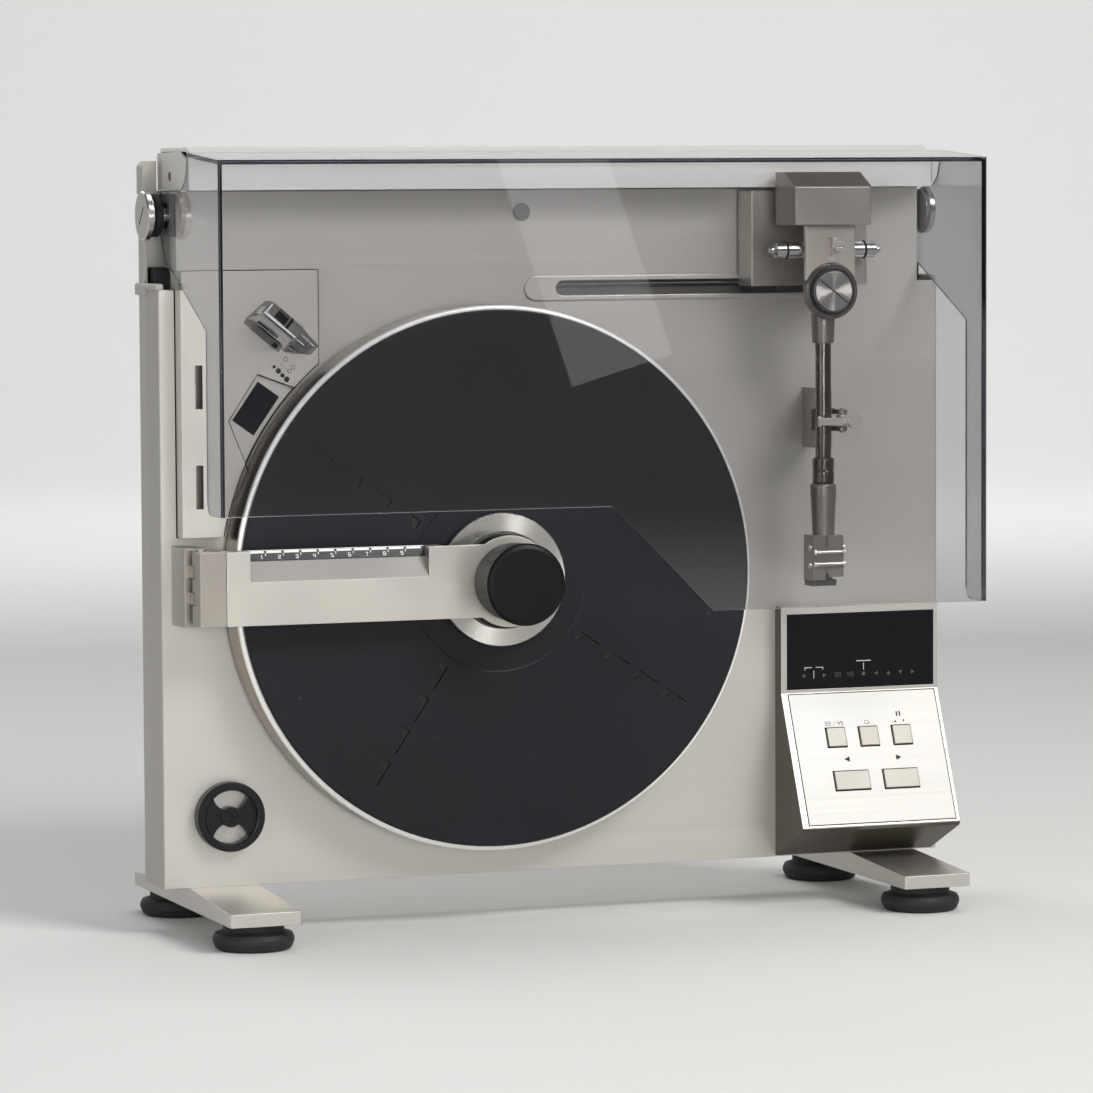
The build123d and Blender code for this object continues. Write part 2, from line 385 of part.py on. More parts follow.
# ---------------------------------------------------------------- arm rest and its clip
rest = bx(ARM_X + 4.4, ARM_X + 7.8, -34.6, 0, 258.7, 292.5)
rest = chamfer(rest.edges().filter_by(Axis.Z).filter_by(lambda e: e.center().Y < -34.5), 0.5)
rest += bx(ARM_X - 4.8, ARM_X + 5.0, -34.2, -30.4, 269.5, 281.5)
rest -= cz(ARM_X, TY, 6.6, 250, 300)
rest += bx(ARM_X + 4.4, ARM_X + 16.5, -2.4, 0, 264, 287)
rest += bx(ARM_X + 9.0, ARM_X + 15.0, -38.5, 0, 269, 271.6) + bx(ARM_X + 9.0, ARM_X + 15.0, -38.5, 0, 278.4, 281.0)
rest -= bx(ARM_X + 10.5, ARM_X + 13.5, -28, -8, 268, 282)
rest += cz(ARM_X + 12, -38.5, 3.0, 269, 271.6) + cz(ARM_X + 12, -38.5, 3.0, 278.4, 281.0)
rest -= cz(ARM_X + 12, -38.5, 1.2, 268, 282)
add("arm_rest", rest)
NODES["arm_rest"] = rest + cz(ARM_X + 12, -38.5, 1.2, 268.2, 281.8)
clip = cz(ARM_X + 12, -38.5, 3.0, 272.0, 278.0) + bx(ARM_X - 6.8, ARM_X + 12, -51.0, -49.6, 273.0, 277.0) \
    + bx(ARM_X + 9.4, ARM_X + 12.2, -50.4, -38.5, 272.6, 277.4) + bx(ARM_X - 6.8, ARM_X - 5.2, -49.8, -48.0, 272.2, 277.8)
clip += cy(ARM_X + 13.5, 275, 4.0, -54.4, -50.4) + cy(ARM_X + 12.2, 275, 1.6, -51, -44)
clip -= cz(ARM_X + 12, -38.5, 1.25, 268, 282)
add("rest_clip", clip)

# ---------------------------------------------------------------- control housing
CX0, CX1 = 130.0, 226.6
hp = [(0, 168.9), (-8.5, 168.9), (-8.5, 119.8), (-39.8, 46.6), (-38.6, 44.4), (0, 27.0)]
hin = [(-0.0 + 1, 166.9), (-6.5, 166.9), (-6.5, 120.2), (-36.4, 49.6), (-35.6, 46.4), (1, 30.0)]
ho = ext_x(hp, CX0, CX1) - ext_x(hin, CX0 + 2, CX1 - 2)
ho = fillet(ho.edges().filter_by(Axis.X).filter_by(lambda e: e.center().Y < -38 and e.center().Z < 48 and e.center().Z > 44), 0.9)
ho -= bx(CX0 + 3.6, CX1 - 2.4, -10, -5, 121.6, 164.4)
# sloped fascia frame: local plane, u along X, v up the slope
FA = atan2(119.8 - 46.6, 39.8 - 8.5)           # slope angle from the horizontal
fx = Vector(1, 0, 0)
fv = Vector(0, cos(FA), sin(FA))
fn = Vector(0, -sin(FA), cos(FA))
F0 = Vector(0, -39.8, 46.6)
FL = hypot(119.8 - 46.6, 39.8 - 8.5)
def fas(x0, x1, v0, v1, n0, n1):
    "box on the slope: x range, distance down from the bend line, height above the slope"
    c = F0 + fv * (FL - (v0 + v1) / 2) + fn * ((n0 + n1) / 2) + fx * ((x0 + x1) / 2)
    pl_ = Plane(origin=c, x_dir=fx, z_dir=fn)
    return pl_ * Box(x1 - x0, v1 - v0, n1 - n0)
KEYS = {"key_speed": (159.1, 27.2, 10.6, 10.6), "key_repeat": (179.2, 27.3, 10.6, 10.6), "key_lift": (199.6, 27.3, 10.6, 10.6),
        "key_start": (164.4, 52.8, 20.4, 10.4), "key_stop": (194.6, 52.9, 20.4, 10.4)}
KT = 0.8                                       # fascia plate thickness
cut = None
for nm, (kx, kv, kw, kh) in KEYS.items():
    c = fas(kx - kw / 2 - 0.8, kx + kw / 2 + 0.8, kv - kh / 2 - 0.8, kv + kh / 2 + 0.8, -8, 4)
    cut = c if cut is None else cut + c
ho -= cut
ho -= fas(CX0 + 3.8, CX1 - 2.0, 0.6, 78.2, -KT, 4)
add("control_housing", ho)
fc = fas(CX0 + 4.3, CX1 - 2.5, 1.1, 77.7, -KT, 0.15) - cut
add("control_fascia", fc)
dw = bx(CX0 + 4.0, CX1 - 2.8, -8.1, -6.1, 122.0, 164.0) + bx(CX0 + 2.4, CX1 - 2.4, -6.5, -5.9, 120.9, 165.6)
add("display_window", dw)
for nm, (kx, kv, kw, kh) in KEYS.items():
    k = fas(kx - kw / 2, kx + kw / 2, kv - kh / 2, kv + kh / 2, -4.2, 1.5)
    k = chamfer(k.faces().sort_by(SortBy.AREA)[-2:].edges().filter_by(lambda e: True), 0.45) if False else k
    k += fas(kx - 2.5, kx + 2.5, kv - 2.5, kv + 2.5, -6.6, -4.2)
    add(nm, k)
pcb = fas(146, 214, 18, 62, -10.6, -9.0)
for nm, (kx, kv, kw, kh) in KEYS.items():
    pcb += fas(kx - 3, kx + 3, kv - 3, kv + 3, -9.0, -8.3)
for xx in (150, 210):
    pcb += fas(xx - 2, xx + 2, 36, 40, -9.0, -2.0) 
add("control_board", pcb)

# ---------------------------------------------------------------- record clamp arm
hb = bx(-223.7, -211.0, -24, 0, 171.0, 213.2)
hb = chamfer(hb.edges().filter_by(Axis.Z).filter_by(lambda e: e.center().Y < -23), 0.6)
LUG = ((183.6, 190.0), (198.0, 204.4))
for z0, z1 in LUG:
    hb += cz(PIN_X, PIN_Y, 4.6, z0, z1) + bx(PIN_X - 4.6, PIN_X + 4.6, PIN_Y, -23.9, z0, z1)
hb -= cz(PIN_X, PIN_Y, 2.5, 150, 230)
pin = cz(PIN_X, PIN_Y, 2.5, 171.8, 213.4) 
add("clamp_hinge_base", hb + pin)
ZA0, ZA1 = 172.5, 212.3
root = bx(-221.3, -206.5, ARM_FRONT, -37.0, ZA0, ZA1)
for z0, z1 in ((ZA0, 183.2), (190.4, 197.6), (204.8, ZA1)):
    root += cz(PIN_X, PIN_Y, 4.6, z0, z1) + bx(PIN_X - 4.6, PIN_X + 4.6, -38, PIN_Y, z0, z1)
root -= cz(PIN_X, PIN_Y, 2.55, 150, 230)
root = chamfer(root.edges().filter_by(Axis.Z).filter_by(lambda e: e.center().Y < ARM_FRONT + 0.1 and e.center().X < -221), 0.6)
add("clamp_arm_root", root)
arm = bx(-206.3, -84.0, ARM_FRONT, -34.0, ZA0, ZA1) + bx(-84.0, SP_X, ARM_FRONT, -43.6, ZA0, ZA1) + cy(SP_X, SP_Z, 25.0, ARM_FRONT, -43.6)
arm -= bx(-203, -87, -43.2, -33, ZA0 + 2.4, 193.5)
# bevelled notch in the upper edge that carries the scale
arm -= ext_x([(ARM_FRONT - 1, 195.9), (ARM_FRONT, 195.9), (-36.4, 212.0), (-36.4, 214), (ARM_FRONT - 1, 214)], -193.1, -92.2)
arm -= cy(SP_X, SP_Z, 5.06, -60, -30)
# a tongue that joins the arm to its root piece
arm += bx(-206.3, -204.3, -37.0, -34.0, ZA0, ZA1)
root_t = bx(-207, -206.5, ARM_FRONT, -37, ZA0, ZA1)
add("clamp_arm", arm)
# scale strip: thin plate that lies on the bevel
BA = atan2(212.0 - 195.9, 45.7 - 36.4)
bv = Vector(0, cos(BA), sin(BA)); bn = Vector(0, -sin(BA), cos(BA))
cst = Vector((-193.1 - 92.2) / 2, ARM_FRONT, 195.9) + bv * 15.4 + bn * 0.25
add("scale_strip", Plane(origin=cst, x_dir=(1, 0, 0), z_dir=bn) * Box(100.4, 5.8, 0.5))
disc = rev_y([(6.4, -29.3), (35.0, -29.3), (36.2, -30.0), (36.8, -31.0), (36.8, -32.4), (36.2, -33.2), (26.8, -33.2), (26.4, -39.0), (6.4, -39.0)], SP_X, SP_Z)
add("clamp_disc", disc)
hub = rev_y([(0, -48.0), (5.0, -48.0), (5.0, -42.2), (24.6, -42.2), (25.6, -41.4), (26.4, -39.0), (6.34, -39.0), (6.34, -38.4), (0, -38.4)], SP_X, SP_Z)
kn = rev_y([(5.0, -46.2), (20.4, -46.2), (21.0, -46.8), (22.4, -70.0), (21.6, -71.6), (19.6, -72.4), (0, -72.4), (0, -48.0), (5.0, -48.0)], SP_X, SP_Z)
# fine grooves along the tapered side
for k in range(36):
    a = 2 * pi * k / 36
    p0 = Vector(SP_X + 21.5 * cos(a), -47.4, SP_Z + 21.5 * sin(a))
    p1 = Vector(SP_X + 22.8 * cos(a), -69.2, SP_Z + 22.8 * sin(a))
    kn -= Plane(origin=(p0 + p1) / 2, z_dir=p1 - p0) * Cylinder(0.62, (p1 - p0).length)
add("clamp_knob", kn + hub)

# ---------------------------------------------------------------- dust cover
def side_profile(low, rear):
    return [(COVER_FRONT, 421.0), (-28.5, 425.2), (-27.5, 419), (-24.5, 411), (-18.5, 406.2), (-8, 403.6), (6, 403.0)] + \
        [(HINGE_Y + 12.8 * cos(radians(a)), HINGE_Z + 12.8 * sin(radians(a))) for a in (110, 90, 70, 50, 30, 10, -10, -30, -50, -70)] + \
        [(16, 367.0), (2, 361.4), (rear, 331.0), (rear, low + 6), (rear - 2.0, low + 1.6), (rear - 6, low), (COVER_FRONT, low)]
LEFT_LOW, RIGHT_LOW = 233.6, 175.2
left = ext_x(side_profile(LEFT_LOW, -60.5), -COVER_HW, -COVER_HW + COVER_T)
right = ext_x(side_profile(RIGHT_LOW, -62.5), COVER_HW - COVER_T, COVER_HW)
front = ext_y([(-COVER_HW, LEFT_LOW), (-1.2, LEFT_LOW), (57.7, RIGHT_LOW), (COVER_HW, RIGHT_LOW), (COVER_HW, 421.0), (-COVER_HW, 421.0)],
              COVER_FRONT, COVER_FRONT + COVER_T)
top = ext_x([(COVER_FRONT, 421.0), (COVER_FRONT, 421.0 - COVER_T), (-28.5, 425.2 - COVER_T), (-28.5, 425.2)], -COVER_HW, COVER_HW)
cov = left + right + front + top
cov -= cx(HINGE_Y, HINGE_Z, 4.05, -240, -210) + cx(HINGE_Y, HINGE_Z, 4.05, 210, 240)
cov = chamfer(cov.edges().filter_by(Axis.Z).filter_by(lambda e: e.center().Y < COVER_FRONT + 0.05 and abs(abs(e.center().X) - COVER_HW) < 0.05), 0.8)
add("dust_cover", cov)
knobs = rings_ = None
for s in (-1, 1):
    k = cx(HINGE_Y, HINGE_Z, 13.4, *sorted((s * 230.0, s * 233.4)))
    k = chamfer(k.edges().filter_by(lambda e: abs(abs(e.center().X) - 233.4) < 0.05), 0.8)
    k += cx(HINGE_Y, HINGE_Z, 4.0, *sorted((s * (UPPER_HW - 10), s * 230.0)))
    k += cx(HINGE_Y, HINGE_Z, 10.6, *sorted((s * 228.6, s * 230.0)))
    k -= Pos(s * 233.4, HINGE_Y, HINGE_Z) * Rot(42, 0, 0) * Box(2.2, 1.5, 13)
    w = rev_x([(s * 223.6, 4.06), (s * 223.6, 10.6), (s * 224.6, 11.6), (s * 227.6, 11.6), (s * 228.6, 10.6), (s * 228.6, 4.06)], HINGE_Y, HINGE_Z)
    knobs = k if knobs is None else knobs + k
    rings_ = w if rings_ is None else rings_ + w
wd = None
for s in (-1, 1):
    w = cx(HINGE_Y, HINGE_Z, 7.0, *sorted((s * UPPER_HW, s * 218.2))) - cx(HINGE_Y, HINGE_Z, 4.0, -240, 240)
    wd = w if wd is None else wd + w
add("hinge_knobs", Compound(children=[q for q in knobs.solids()] + [q for q in wd.solids()]))
st = None
for s in (-1, 1):
    b = bx(*sorted((s * 218.6, s * 226.2)), 17.0, 36.0, NOTCH_Z, 363.4)
    b = fillet(b.edges().filter_by(Axis.X).filter_by(lambda e: e.center().Z > 363.3), 3.5)
    b -= bx(-240, 240, FRAME_D, 38, 340, NOTCH_Z + 0.2)
    st = b if st is None else st + b
add("cover_rubbers", Compound(children=[q for q in rings_.solids()] + [q for q in st.solids()]))

# ---------------------------------------------------------------- electrics inside and sockets at the back
pcb2 = bx(-60, 110, 30.0, 31.6, 44, 118)
for xx, zz in ((-54, 50), (104, 50), (-54, 112), (104, 112)):
    pcb2 += cy(xx, zz, 3.0, 31.6, BACK_Y - T)
for (a, b, c, d, h) in ((-40, -12, 60, 74, 6), (-4, 20, 60, 70, 5), (34, 42, 84, 104, 9), (60, 92, 62, 72, 7), (-44, -30, 90, 104, 14), (-20, -6, 90, 104, 14), (66, 90, 86, 106, 8)):
    pcb2 += bx(a, b, 30.0 - h, 30.0, c, d)
add("main_board", pcb2)
tr = bx(-206, -150, 8, 36, 92, 140) + bx(-212, -144, 36, BACK_Y - T, 96, 136)
tr += bx(-200, -156, 5, 8, 100, 132)
add("transformer", tr)
inlet = bx(-174, -122, 30, BACK_Y, 44, 64) - bx(-170, -126, 34, 41, 48, 60)
inlet += bx(-160, -157, 34, 39, 52, 56) + bx(-139, -136, 34, 39, 52, 56)
jack = bx(128, 166, 33, BACK_Y, 44, 62)
for xx in (138, 156):
    jack += cy(xx, 53, 4.2, BACK_Y, BACK_Y + 7) - cy(xx, 53, 3.3, BACK_Y + 1, BACK_Y + 8)
    jack += cy(xx, 53, 6.0, BACK_Y, BACK_Y + 1.2) - cy(xx, 53, 3.3, BACK_Y + 1.0, BACK_Y + 8)
add("rear_sockets", Compound(children=[q for q in inlet.solids()] + [q for q in jack.solids()]))

# ---------------------------------------------------------------- write every node
for name, shape in NODES.items():
    shape = Pos(0, Y_SHIFT, 0) * shape
    if isinstance(shape, ShapeList) or len(shape.solids()) > 1:
        shape = Compound(children=[s for s in shape.solids()])
    export_step(shape, f"parts/{name}.step")

if __name__ == "__main__":
    lo = [1e9] * 3
    hi = [-1e9] * 3
    for name, shape in NODES.items():
        b = shape.bounding_box()
        for i, (a, c) in enumerate(((b.min.X, b.max.X), (b.min.Y, b.max.Y), (b.min.Z, b.max.Z))):
            lo[i] = min(lo[i], a)
            hi[i] = max(hi[i], c)
        print(name, [round(v,1) for v in (b.min.X,b.max.X,b.min.Y,b.max.Y,b.min.Z,b.max.Z)], len(shape.solids()), round(sum(s.volume for s in shape.solids()), 1), shape.is_valid if not callable(shape.is_valid) else shape.is_valid())
    print("box", [round(v, 2) for v in lo], [round(v, 2) for v in hi], "nodes", len(NODES))
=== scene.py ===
import bpy, bmesh, math, random
from mathutils import Vector, Matrix, Quaternion


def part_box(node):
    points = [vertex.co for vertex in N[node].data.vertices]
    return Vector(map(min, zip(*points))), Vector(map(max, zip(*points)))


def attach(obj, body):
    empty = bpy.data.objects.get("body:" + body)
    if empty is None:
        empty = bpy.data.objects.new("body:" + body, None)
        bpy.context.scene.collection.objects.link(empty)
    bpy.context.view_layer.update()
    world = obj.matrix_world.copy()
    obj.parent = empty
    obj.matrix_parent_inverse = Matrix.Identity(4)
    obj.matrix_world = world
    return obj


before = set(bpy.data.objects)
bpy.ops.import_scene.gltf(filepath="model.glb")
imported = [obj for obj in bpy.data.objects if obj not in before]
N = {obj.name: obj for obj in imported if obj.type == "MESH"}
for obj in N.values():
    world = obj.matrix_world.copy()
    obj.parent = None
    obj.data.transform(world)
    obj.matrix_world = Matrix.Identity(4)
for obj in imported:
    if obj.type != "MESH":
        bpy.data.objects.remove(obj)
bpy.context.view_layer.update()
random.seed(7)


# ------------------------------------------------------------------ small helpers
def P(x, y, z):
    "a point in millimetres, y measured from the face of the front panel"
    return Vector((x / 1000.0, (y - 12.0) / 1000.0, z / 1000.0))


def lin(r, g, b):
    f = lambda c: c / 12.92 if c <= 0.04045 else ((c + 0.055) / 1.055) ** 2.4
    return (f(r / 255.0), f(g / 255.0), f(b / 255.0))


class Tree:
    "a material with one Principled shader and helpers that add nodes to it"

    def __init__(self, name):
        self.m = bpy.data.materials.new(name)
        self.m.use_nodes = True
        self.t = self.m.node_tree
        self.t.nodes.clear()
        self.out = self.t.nodes.new("ShaderNodeOutputMaterial")
        self.p = self.t.nodes.new("ShaderNodeBsdfPrincipled")
        self.t.links.new(self.p.outputs[0], self.out.inputs[0])
        self.tc = self.t.nodes.new("ShaderNodeTexCoord")
        self.geo = self.t.nodes.new("ShaderNodeNewGeometry")

    def link(self, a, b):
        self.t.links.new(a, b)

    def set(self, **k):
        for key, v in k.items():
            s = self.p.inputs[key.replace("_", " ")]
            s.default_value = (*v, 1.0) if isinstance(v, tuple) and len(v) == 3 and len(s.default_value) == 4 else v
        return self

    def coords(self, scale=(1, 1, 1), loc=(0, 0, 0), rot=(0, 0, 0)):
        n = self.t.nodes.new("ShaderNodeMapping")
        n.inputs["Scale"].default_value = scale
        n.inputs["Location"].default_value = loc
        n.inputs["Rotation"].default_value = rot
        self.link(self.tc.outputs["Object"], n.inputs["Vector"])
        return n.outputs[0]

    def noise(self, scale=(1, 1, 1), detail=3.0, rough=0.55, dist=0.0, vec=None, loc=(0, 0, 0), rot=(0, 0, 0)):
        n = self.t.nodes.new("ShaderNodeTexNoise")
        n.inputs["Scale"].default_value = 1.0
        n.inputs["Detail"].default_value = detail
        n.inputs["Roughness"].default_value = rough
        n.inputs["Distortion"].default_value = dist
        self.link(vec if vec is not None else self.coords(scale, loc, rot), n.inputs["Vector"])
        return n.outputs["Fac"]

    def math(self, op, a, b=None, clamp=False):
        n = self.t.nodes.new("ShaderNodeMath")
        n.operation = op
        n.use_clamp = clamp
        for i, v in enumerate((a, b)):
            if v is None:
                continue
            if isinstance(v, (int, float)):
                n.inputs[i].default_value = v
            else:
                self.link(v, n.inputs[i])
        return n.outputs[0]

    def mapr(self, v, a, b, c, d, clamp=True):
        n = self.t.nodes.new("ShaderNodeMapRange")
        n.clamp = clamp
        self.link(v, n.inputs["Value"])
        for k, x in zip(("From Min", "From Max", "To Min", "To Max"), (a, b, c, d)):
            n.inputs[k].default_value = x
        return n.outputs["Result"]

    def mix(self, fac, a, b, mode="MIX"):
        n = self.t.nodes.new("ShaderNodeMix")
        n.data_type = "RGBA"
        n.blend_type = mode
        for s, v in ((n.inputs["Factor"], fac), (n.inputs[6], a), (n.inputs[7], b)):
            if isinstance(v, (int, float)):
                s.default_value = v
            elif isinstance(v, tuple):
                s.default_value = (*v, 1.0)
            else:
                self.link(v, s)
        return n.outputs[2]

    def edge(self, radius):
        "0 on flat areas, up to 1 on convex or concave edges; also the rounded normal"
        b = self.t.nodes.new("ShaderNodeBevel")
        b.samples = 4
        b.inputs["Radius"].default_value = radius
        d = self.t.nodes.new("ShaderNodeVectorMath")
        d.operation = "DOT_PRODUCT"
        self.link(b.outputs[0], d.inputs[0])
        self.link(self.geo.outputs["Normal"], d.inputs[1])
        return self.mapr(d.outputs["Value"], 0.96, 0.70, 0.0, 1.0), b.outputs[0]

    def radius(self, cx, cz, cy=None):
        "distance in millimetres from a line along Y (or a vertical line when cy is given)"
        s = self.t.nodes.new("ShaderNodeSeparateXYZ")
        self.link(self.tc.outputs["Object"], s.inputs[0])
        if cy is None:
            a = self.math("SUBTRACT", s.outputs["X"], cx / 1000.0)
            b = self.math("SUBTRACT", s.outputs["Z"], cz / 1000.0)
        else:
            a = self.math("SUBTRACT", s.outputs["X"], cx / 1000.0)
            b = self.math("SUBTRACT", s.outputs["Y"], (cy - 12.0) / 1000.0)
        r = self.math("SQRT", self.math("ADD", self.math("MULTIPLY", a, a), self.math("MULTIPLY", b, b)))
        return self.math("MULTIPLY", r, 1000.0), s

    def fan(self, cx, cz):
        "direction round a line along Y, for the fan-shaped sheen of a turned face"
        s = self.t.nodes.new("ShaderNodeSeparateXYZ")
        self.link(self.tc.outputs["Object"], s.inputs[0])
        c = self.t.nodes.new("ShaderNodeCombineXYZ")
        self.link(self.math("SUBTRACT", cz / 1000.0, s.outputs["Z"]), c.inputs[0])
        self.link(self.math("SUBTRACT", s.outputs["X"], cx / 1000.0), c.inputs[2])
        v = self.t.nodes.new("ShaderNodeVectorTransform")
        v.vector_type = "VECTOR"
        v.convert_from, v.convert_to = "OBJECT", "WORLD"
        self.link(c.outputs[0], v.inputs[0])
        n = self.t.nodes.new("ShaderNodeVectorMath")
        n.operation = "NORMALIZE"
        self.link(v.outputs[0], n.inputs[0])
        self.link(n.outputs[0], self.p.inputs["Tangent"])

    def bump(self, height, strength, dist=0.0001, normal=None):
        n = self.t.nodes.new("ShaderNodeBump")
        n.inputs["Strength"].default_value = strength
        n.inputs["Distance"].default_value = dist
        self.link(height, n.inputs["Height"])
        if normal is not None:
            self.link(normal, n.inputs["Normal"])
        return n.outputs[0]


def finish_mat(t, col, var, vnoise, rough, rvar, rnoise, height=None, bstr=0.2, bdist=0.0001, bevel=0.0004, wear=0.25, wear_col=None, wear_rough=-0.1, spots=None, spot_col=None):
    c0 = tuple(min(1.0, x * (1 - var)) for x in col)
    c1 = tuple(min(1.0, x * (1 + var)) for x in col)
    c = t.mix(vnoise, c0, c1)
    nrm = None
    if bevel:
        mask, nrm = t.edge(bevel)
        broken = t.math("MULTIPLY", mask, t.mapr(t.noise((260, 260, 260), 3.0), 0.35, 0.65, 0.25, 1.0))
        wc = wear_col or tuple(min(1.0, x * 1.35 + 0.02) for x in col)
        c = t.mix(t.math("MULTIPLY", broken, wear), c, wc)
    r = t.mapr(rnoise, 0.25, 0.75, rough - rvar, rough + rvar)
    if bevel and wear_rough:
        r = t.math("ADD", r, t.math("MULTIPLY", broken, wear_rough * wear), True)
    if spots is not None:
        c = t.mix(spots, c, spot_col)
    t.link(c, t.p.inputs["Base Color"])
    t.link(r, t.p.inputs["Roughness"])
    if height is not None:
        t.link(t.bump(height, bstr, bdist, nrm), t.p.inputs["Normal"])
    elif nrm is not None:
        t.link(nrm, t.p.inputs["Normal"])
    return t.m


def specks(t, scale=420.0, lo=0.70, hi=0.76, amount=0.5):
    "sparse dust grains"
    return t.mapr(t.noise((scale, scale, scale), 1.0, 0.4), lo, hi, 0.0, amount)


# ------------------------------------------------------------------ materials
def brushed(name, col, rough=0.34, metal=1.0, axis="x", var=0.05, wear=0.35, bevel=0.0004, bstr=0.25, mottle=0.5):
    "rolled sheet with fine straight grain along one axis"
    t = Tree(name)
    long_, fine = 9.0, 2600.0
    mid = 700.0
    sc = {"x": ((long_, fine, fine), (3.0, mid, mid)), "z": ((fine, fine, long_), (mid, mid, 3.0)), "y": ((fine, long_, fine), (mid, 3.0, mid))}[axis]
    g1 = t.noise(sc[0], 2.0, 0.6)
    g2 = t.noise(sc[1], 3.0, 0.6)
    cloud = t.noise((5.5, 9.0, 7.0), 3.0, 0.5, 0.3)
    v = t.math("ADD", t.math("MULTIPLY", g2, 1.0 - mottle), t.math("MULTIPLY", cloud, mottle))
    v = t.mapr(v, 0.3, 0.7, 0.0, 1.0)
    v = t.math("ADD", t.math("MULTIPLY", v, 0.75), t.math("MULTIPLY", g1, 0.25))
    t.set(Metallic=metal)
    return finish_mat(t, col, var, v, rough, 0.05, g2, t.math("ADD", g1, t.math("MULTIPLY", g2, 0.7)), bstr, 0.00004, bevel, wear)


def satin(name, col, rough=0.42, metal=1.0, var=0.06, wear=0.35, bevel=0.0004, grain=2200.0, bstr=0.2, spec=None):
    "fine bead-blasted or sprayed metal"
    t = Tree(name)
    g = t.noise((grain, grain, grain), 2.0, 0.5)
    cloud = t.noise((22, 22, 22), 4.0, 0.55)
    v = t.math("ADD", t.math("MULTIPLY", g, 0.35), t.math("MULTIPLY", t.mapr(cloud, 0.3, 0.7, 0.0, 1.0), 0.65))
    t.set(Metallic=metal)
    if spec is not None:
        t.set(Specular_IOR_Level=spec)
    return finish_mat(t, col, var, v, rough, 0.05, cloud, g, bstr, 0.00004, bevel, wear)


def turned_y(name, col, cx, cz, rough=0.22, aniso=0.75, pitch=0.35, var=0.08, bstr=0.35, bevel=0.0003, wear=0.2):
    "lathe-turned face about a line along Y, with rings and a fan-shaped sheen"
    t = Tree(name)
    r, _ = t.radius(cx, cz)
    v1 = t.t.nodes.new("ShaderNodeCombineXYZ")
    t.link(r, v1.inputs[0])
    m = t.t.nodes.new("ShaderNodeVectorMath")
    m.operation = "SCALE"
    m.inputs["Scale"].default_value = 1.0 / pitch
    t.link(v1.outputs[0], m.inputs[0])
    rings = t.noise(vec=m.outputs[0], detail=3.0, rough=0.7)
    smudge = t.noise((60, 60, 60), 3.0)
    t.set(Metallic=1.0, Anisotropic=aniso)
    t.fan(cx, cz)
    return finish_mat(t, col, var, rings, rough, 0.05, smudge, rings, bstr, 0.00005, bevel, wear)


def turned_x(name, col, cy_, cz, rough=0.2):
    t = Tree(name)
    g = t.noise((3200, 60, 60), 2.0)
    smudge = t.noise((120, 120, 120), 3.0)
    t.set(Metallic=1.0)
    return finish_mat(t, col, 0.06, g, rough, 0.06, smudge, g, 0.2, 0.00004, 0.0003, 0.25)


def moulded(name, col, rough=0.42, grain=1500.0, bstr=0.18, var=0.10, wear=0.5, dust=0.0, bevel=0.0005, coat=0.0, spec=0.5):
    "moulded plastic with a fine texture"
    t = Tree(name)
    g = t.noise((grain, grain, grain), 2.0, 0.5)
    cloud = t.noise((40, 40, 40), 4.0)
    v = t.math("ADD", t.math("MULTIPLY", g, 0.4), t.math("MULTIPLY", cloud, 0.6))
    t.set(Metallic=0.0, Specular_IOR_Level=spec)
    if coat:
        t.set(Coat_Weight=coat, Coat_Roughness=0.08)
    sp = specks(t, 520.0, 0.70, 0.77, dust) if dust else None
    wc = tuple(min(1.0, x * 1.5 + 0.03) for x in col)
    return finish_mat(t, col, var, v, rough, 0.07, cloud, g, bstr, 0.00006, bevel, wear, wc, 0.1, sp, (0.42, 0.40, 0.37))


def rubber_mat():
    "black rubber record mat: close rings in two zones, wiped areas and dust"
    t = Tree("mat_rubber")
    r, _ = t.radius(-45.3, 191.7)
    fine = t.math("SINE", t.math("MULTIPLY", r, 2 * math.pi / 1.05))
    zone = t.mapr(r, 51.0, 53.0, 0.0, 1.0)
    zone2 = t.mapr(r, 143.0, 141.5, 0.0, 1.0)
    fine = t.math("MULTIPLY", fine, t.math("MULTIPLY", zone, zone2))
    grain = t.noise((1800, 1800, 1800), 2.0)
    h = t.math("ADD", t.math("MULTIPLY", fine, 0.7), t.math("MULTIPLY", grain, 0.35))
    cloud = t.noise((9, 9, 9), 4.0, 0.55, 0.6)
    v1 = t.t.nodes.new("ShaderNodeCombineXYZ")
    t.link(t.math("MULTIPLY", r, 0.22), v1.inputs[0])
    band = t.noise(vec=v1.outputs[0], detail=2.0)
    v = t.math("ADD", t.math("MULTIPLY", t.mapr(cloud, 0.3, 0.7, 0.0, 1.0), 0.6), t.math("MULTIPLY", band, 0.4))
    sp = t.math("MAXIMUM", specks(t, 640.0, 0.745, 0.79, 0.25), specks(t, 210.0, 0.78, 0.82, 0.2))
    t.set(Metallic=0.0, Specular_IOR_Level=0.22)
    return finish_mat(t, lin(24, 25, 30), 0.25, v, 0.46, 0.07, cloud, h, 0.06, 0.0001, 0.0004, 0.4, lin(62, 64, 69), 0.05, sp, (0.10, 0.10, 0.105))


def black_rubber(name, col=None, rough=0.62):
    t = Tree(name)
    g = t.noise((1300, 1300, 1300), 3.0, 0.6)
    cloud = t.noise((70, 70, 70), 4.0)
    s = t.t.nodes.new("ShaderNodeSeparateXYZ")
    t.link(t.geo.outputs["Normal"], s.inputs[0])
    up = t.mapr(s.outputs["Z"], 0.2, 1.0, 0.0, 0.22)
    dust = t.math("MULTIPLY", up, t.mapr(t.noise((420, 420, 420), 2.0), 0.35, 0.7, 0.2, 1.0))
    t.set(Specular_IOR_Level=0.3)
    return finish_mat(t, col or lin(24, 23, 24), 0.2, cloud, rough, 0.06, cloud, g, 0.25, 0.0001, 0.0006, 0.4, lin(58, 56, 55), 0.05, dust, (0.11, 0.105, 0.10))


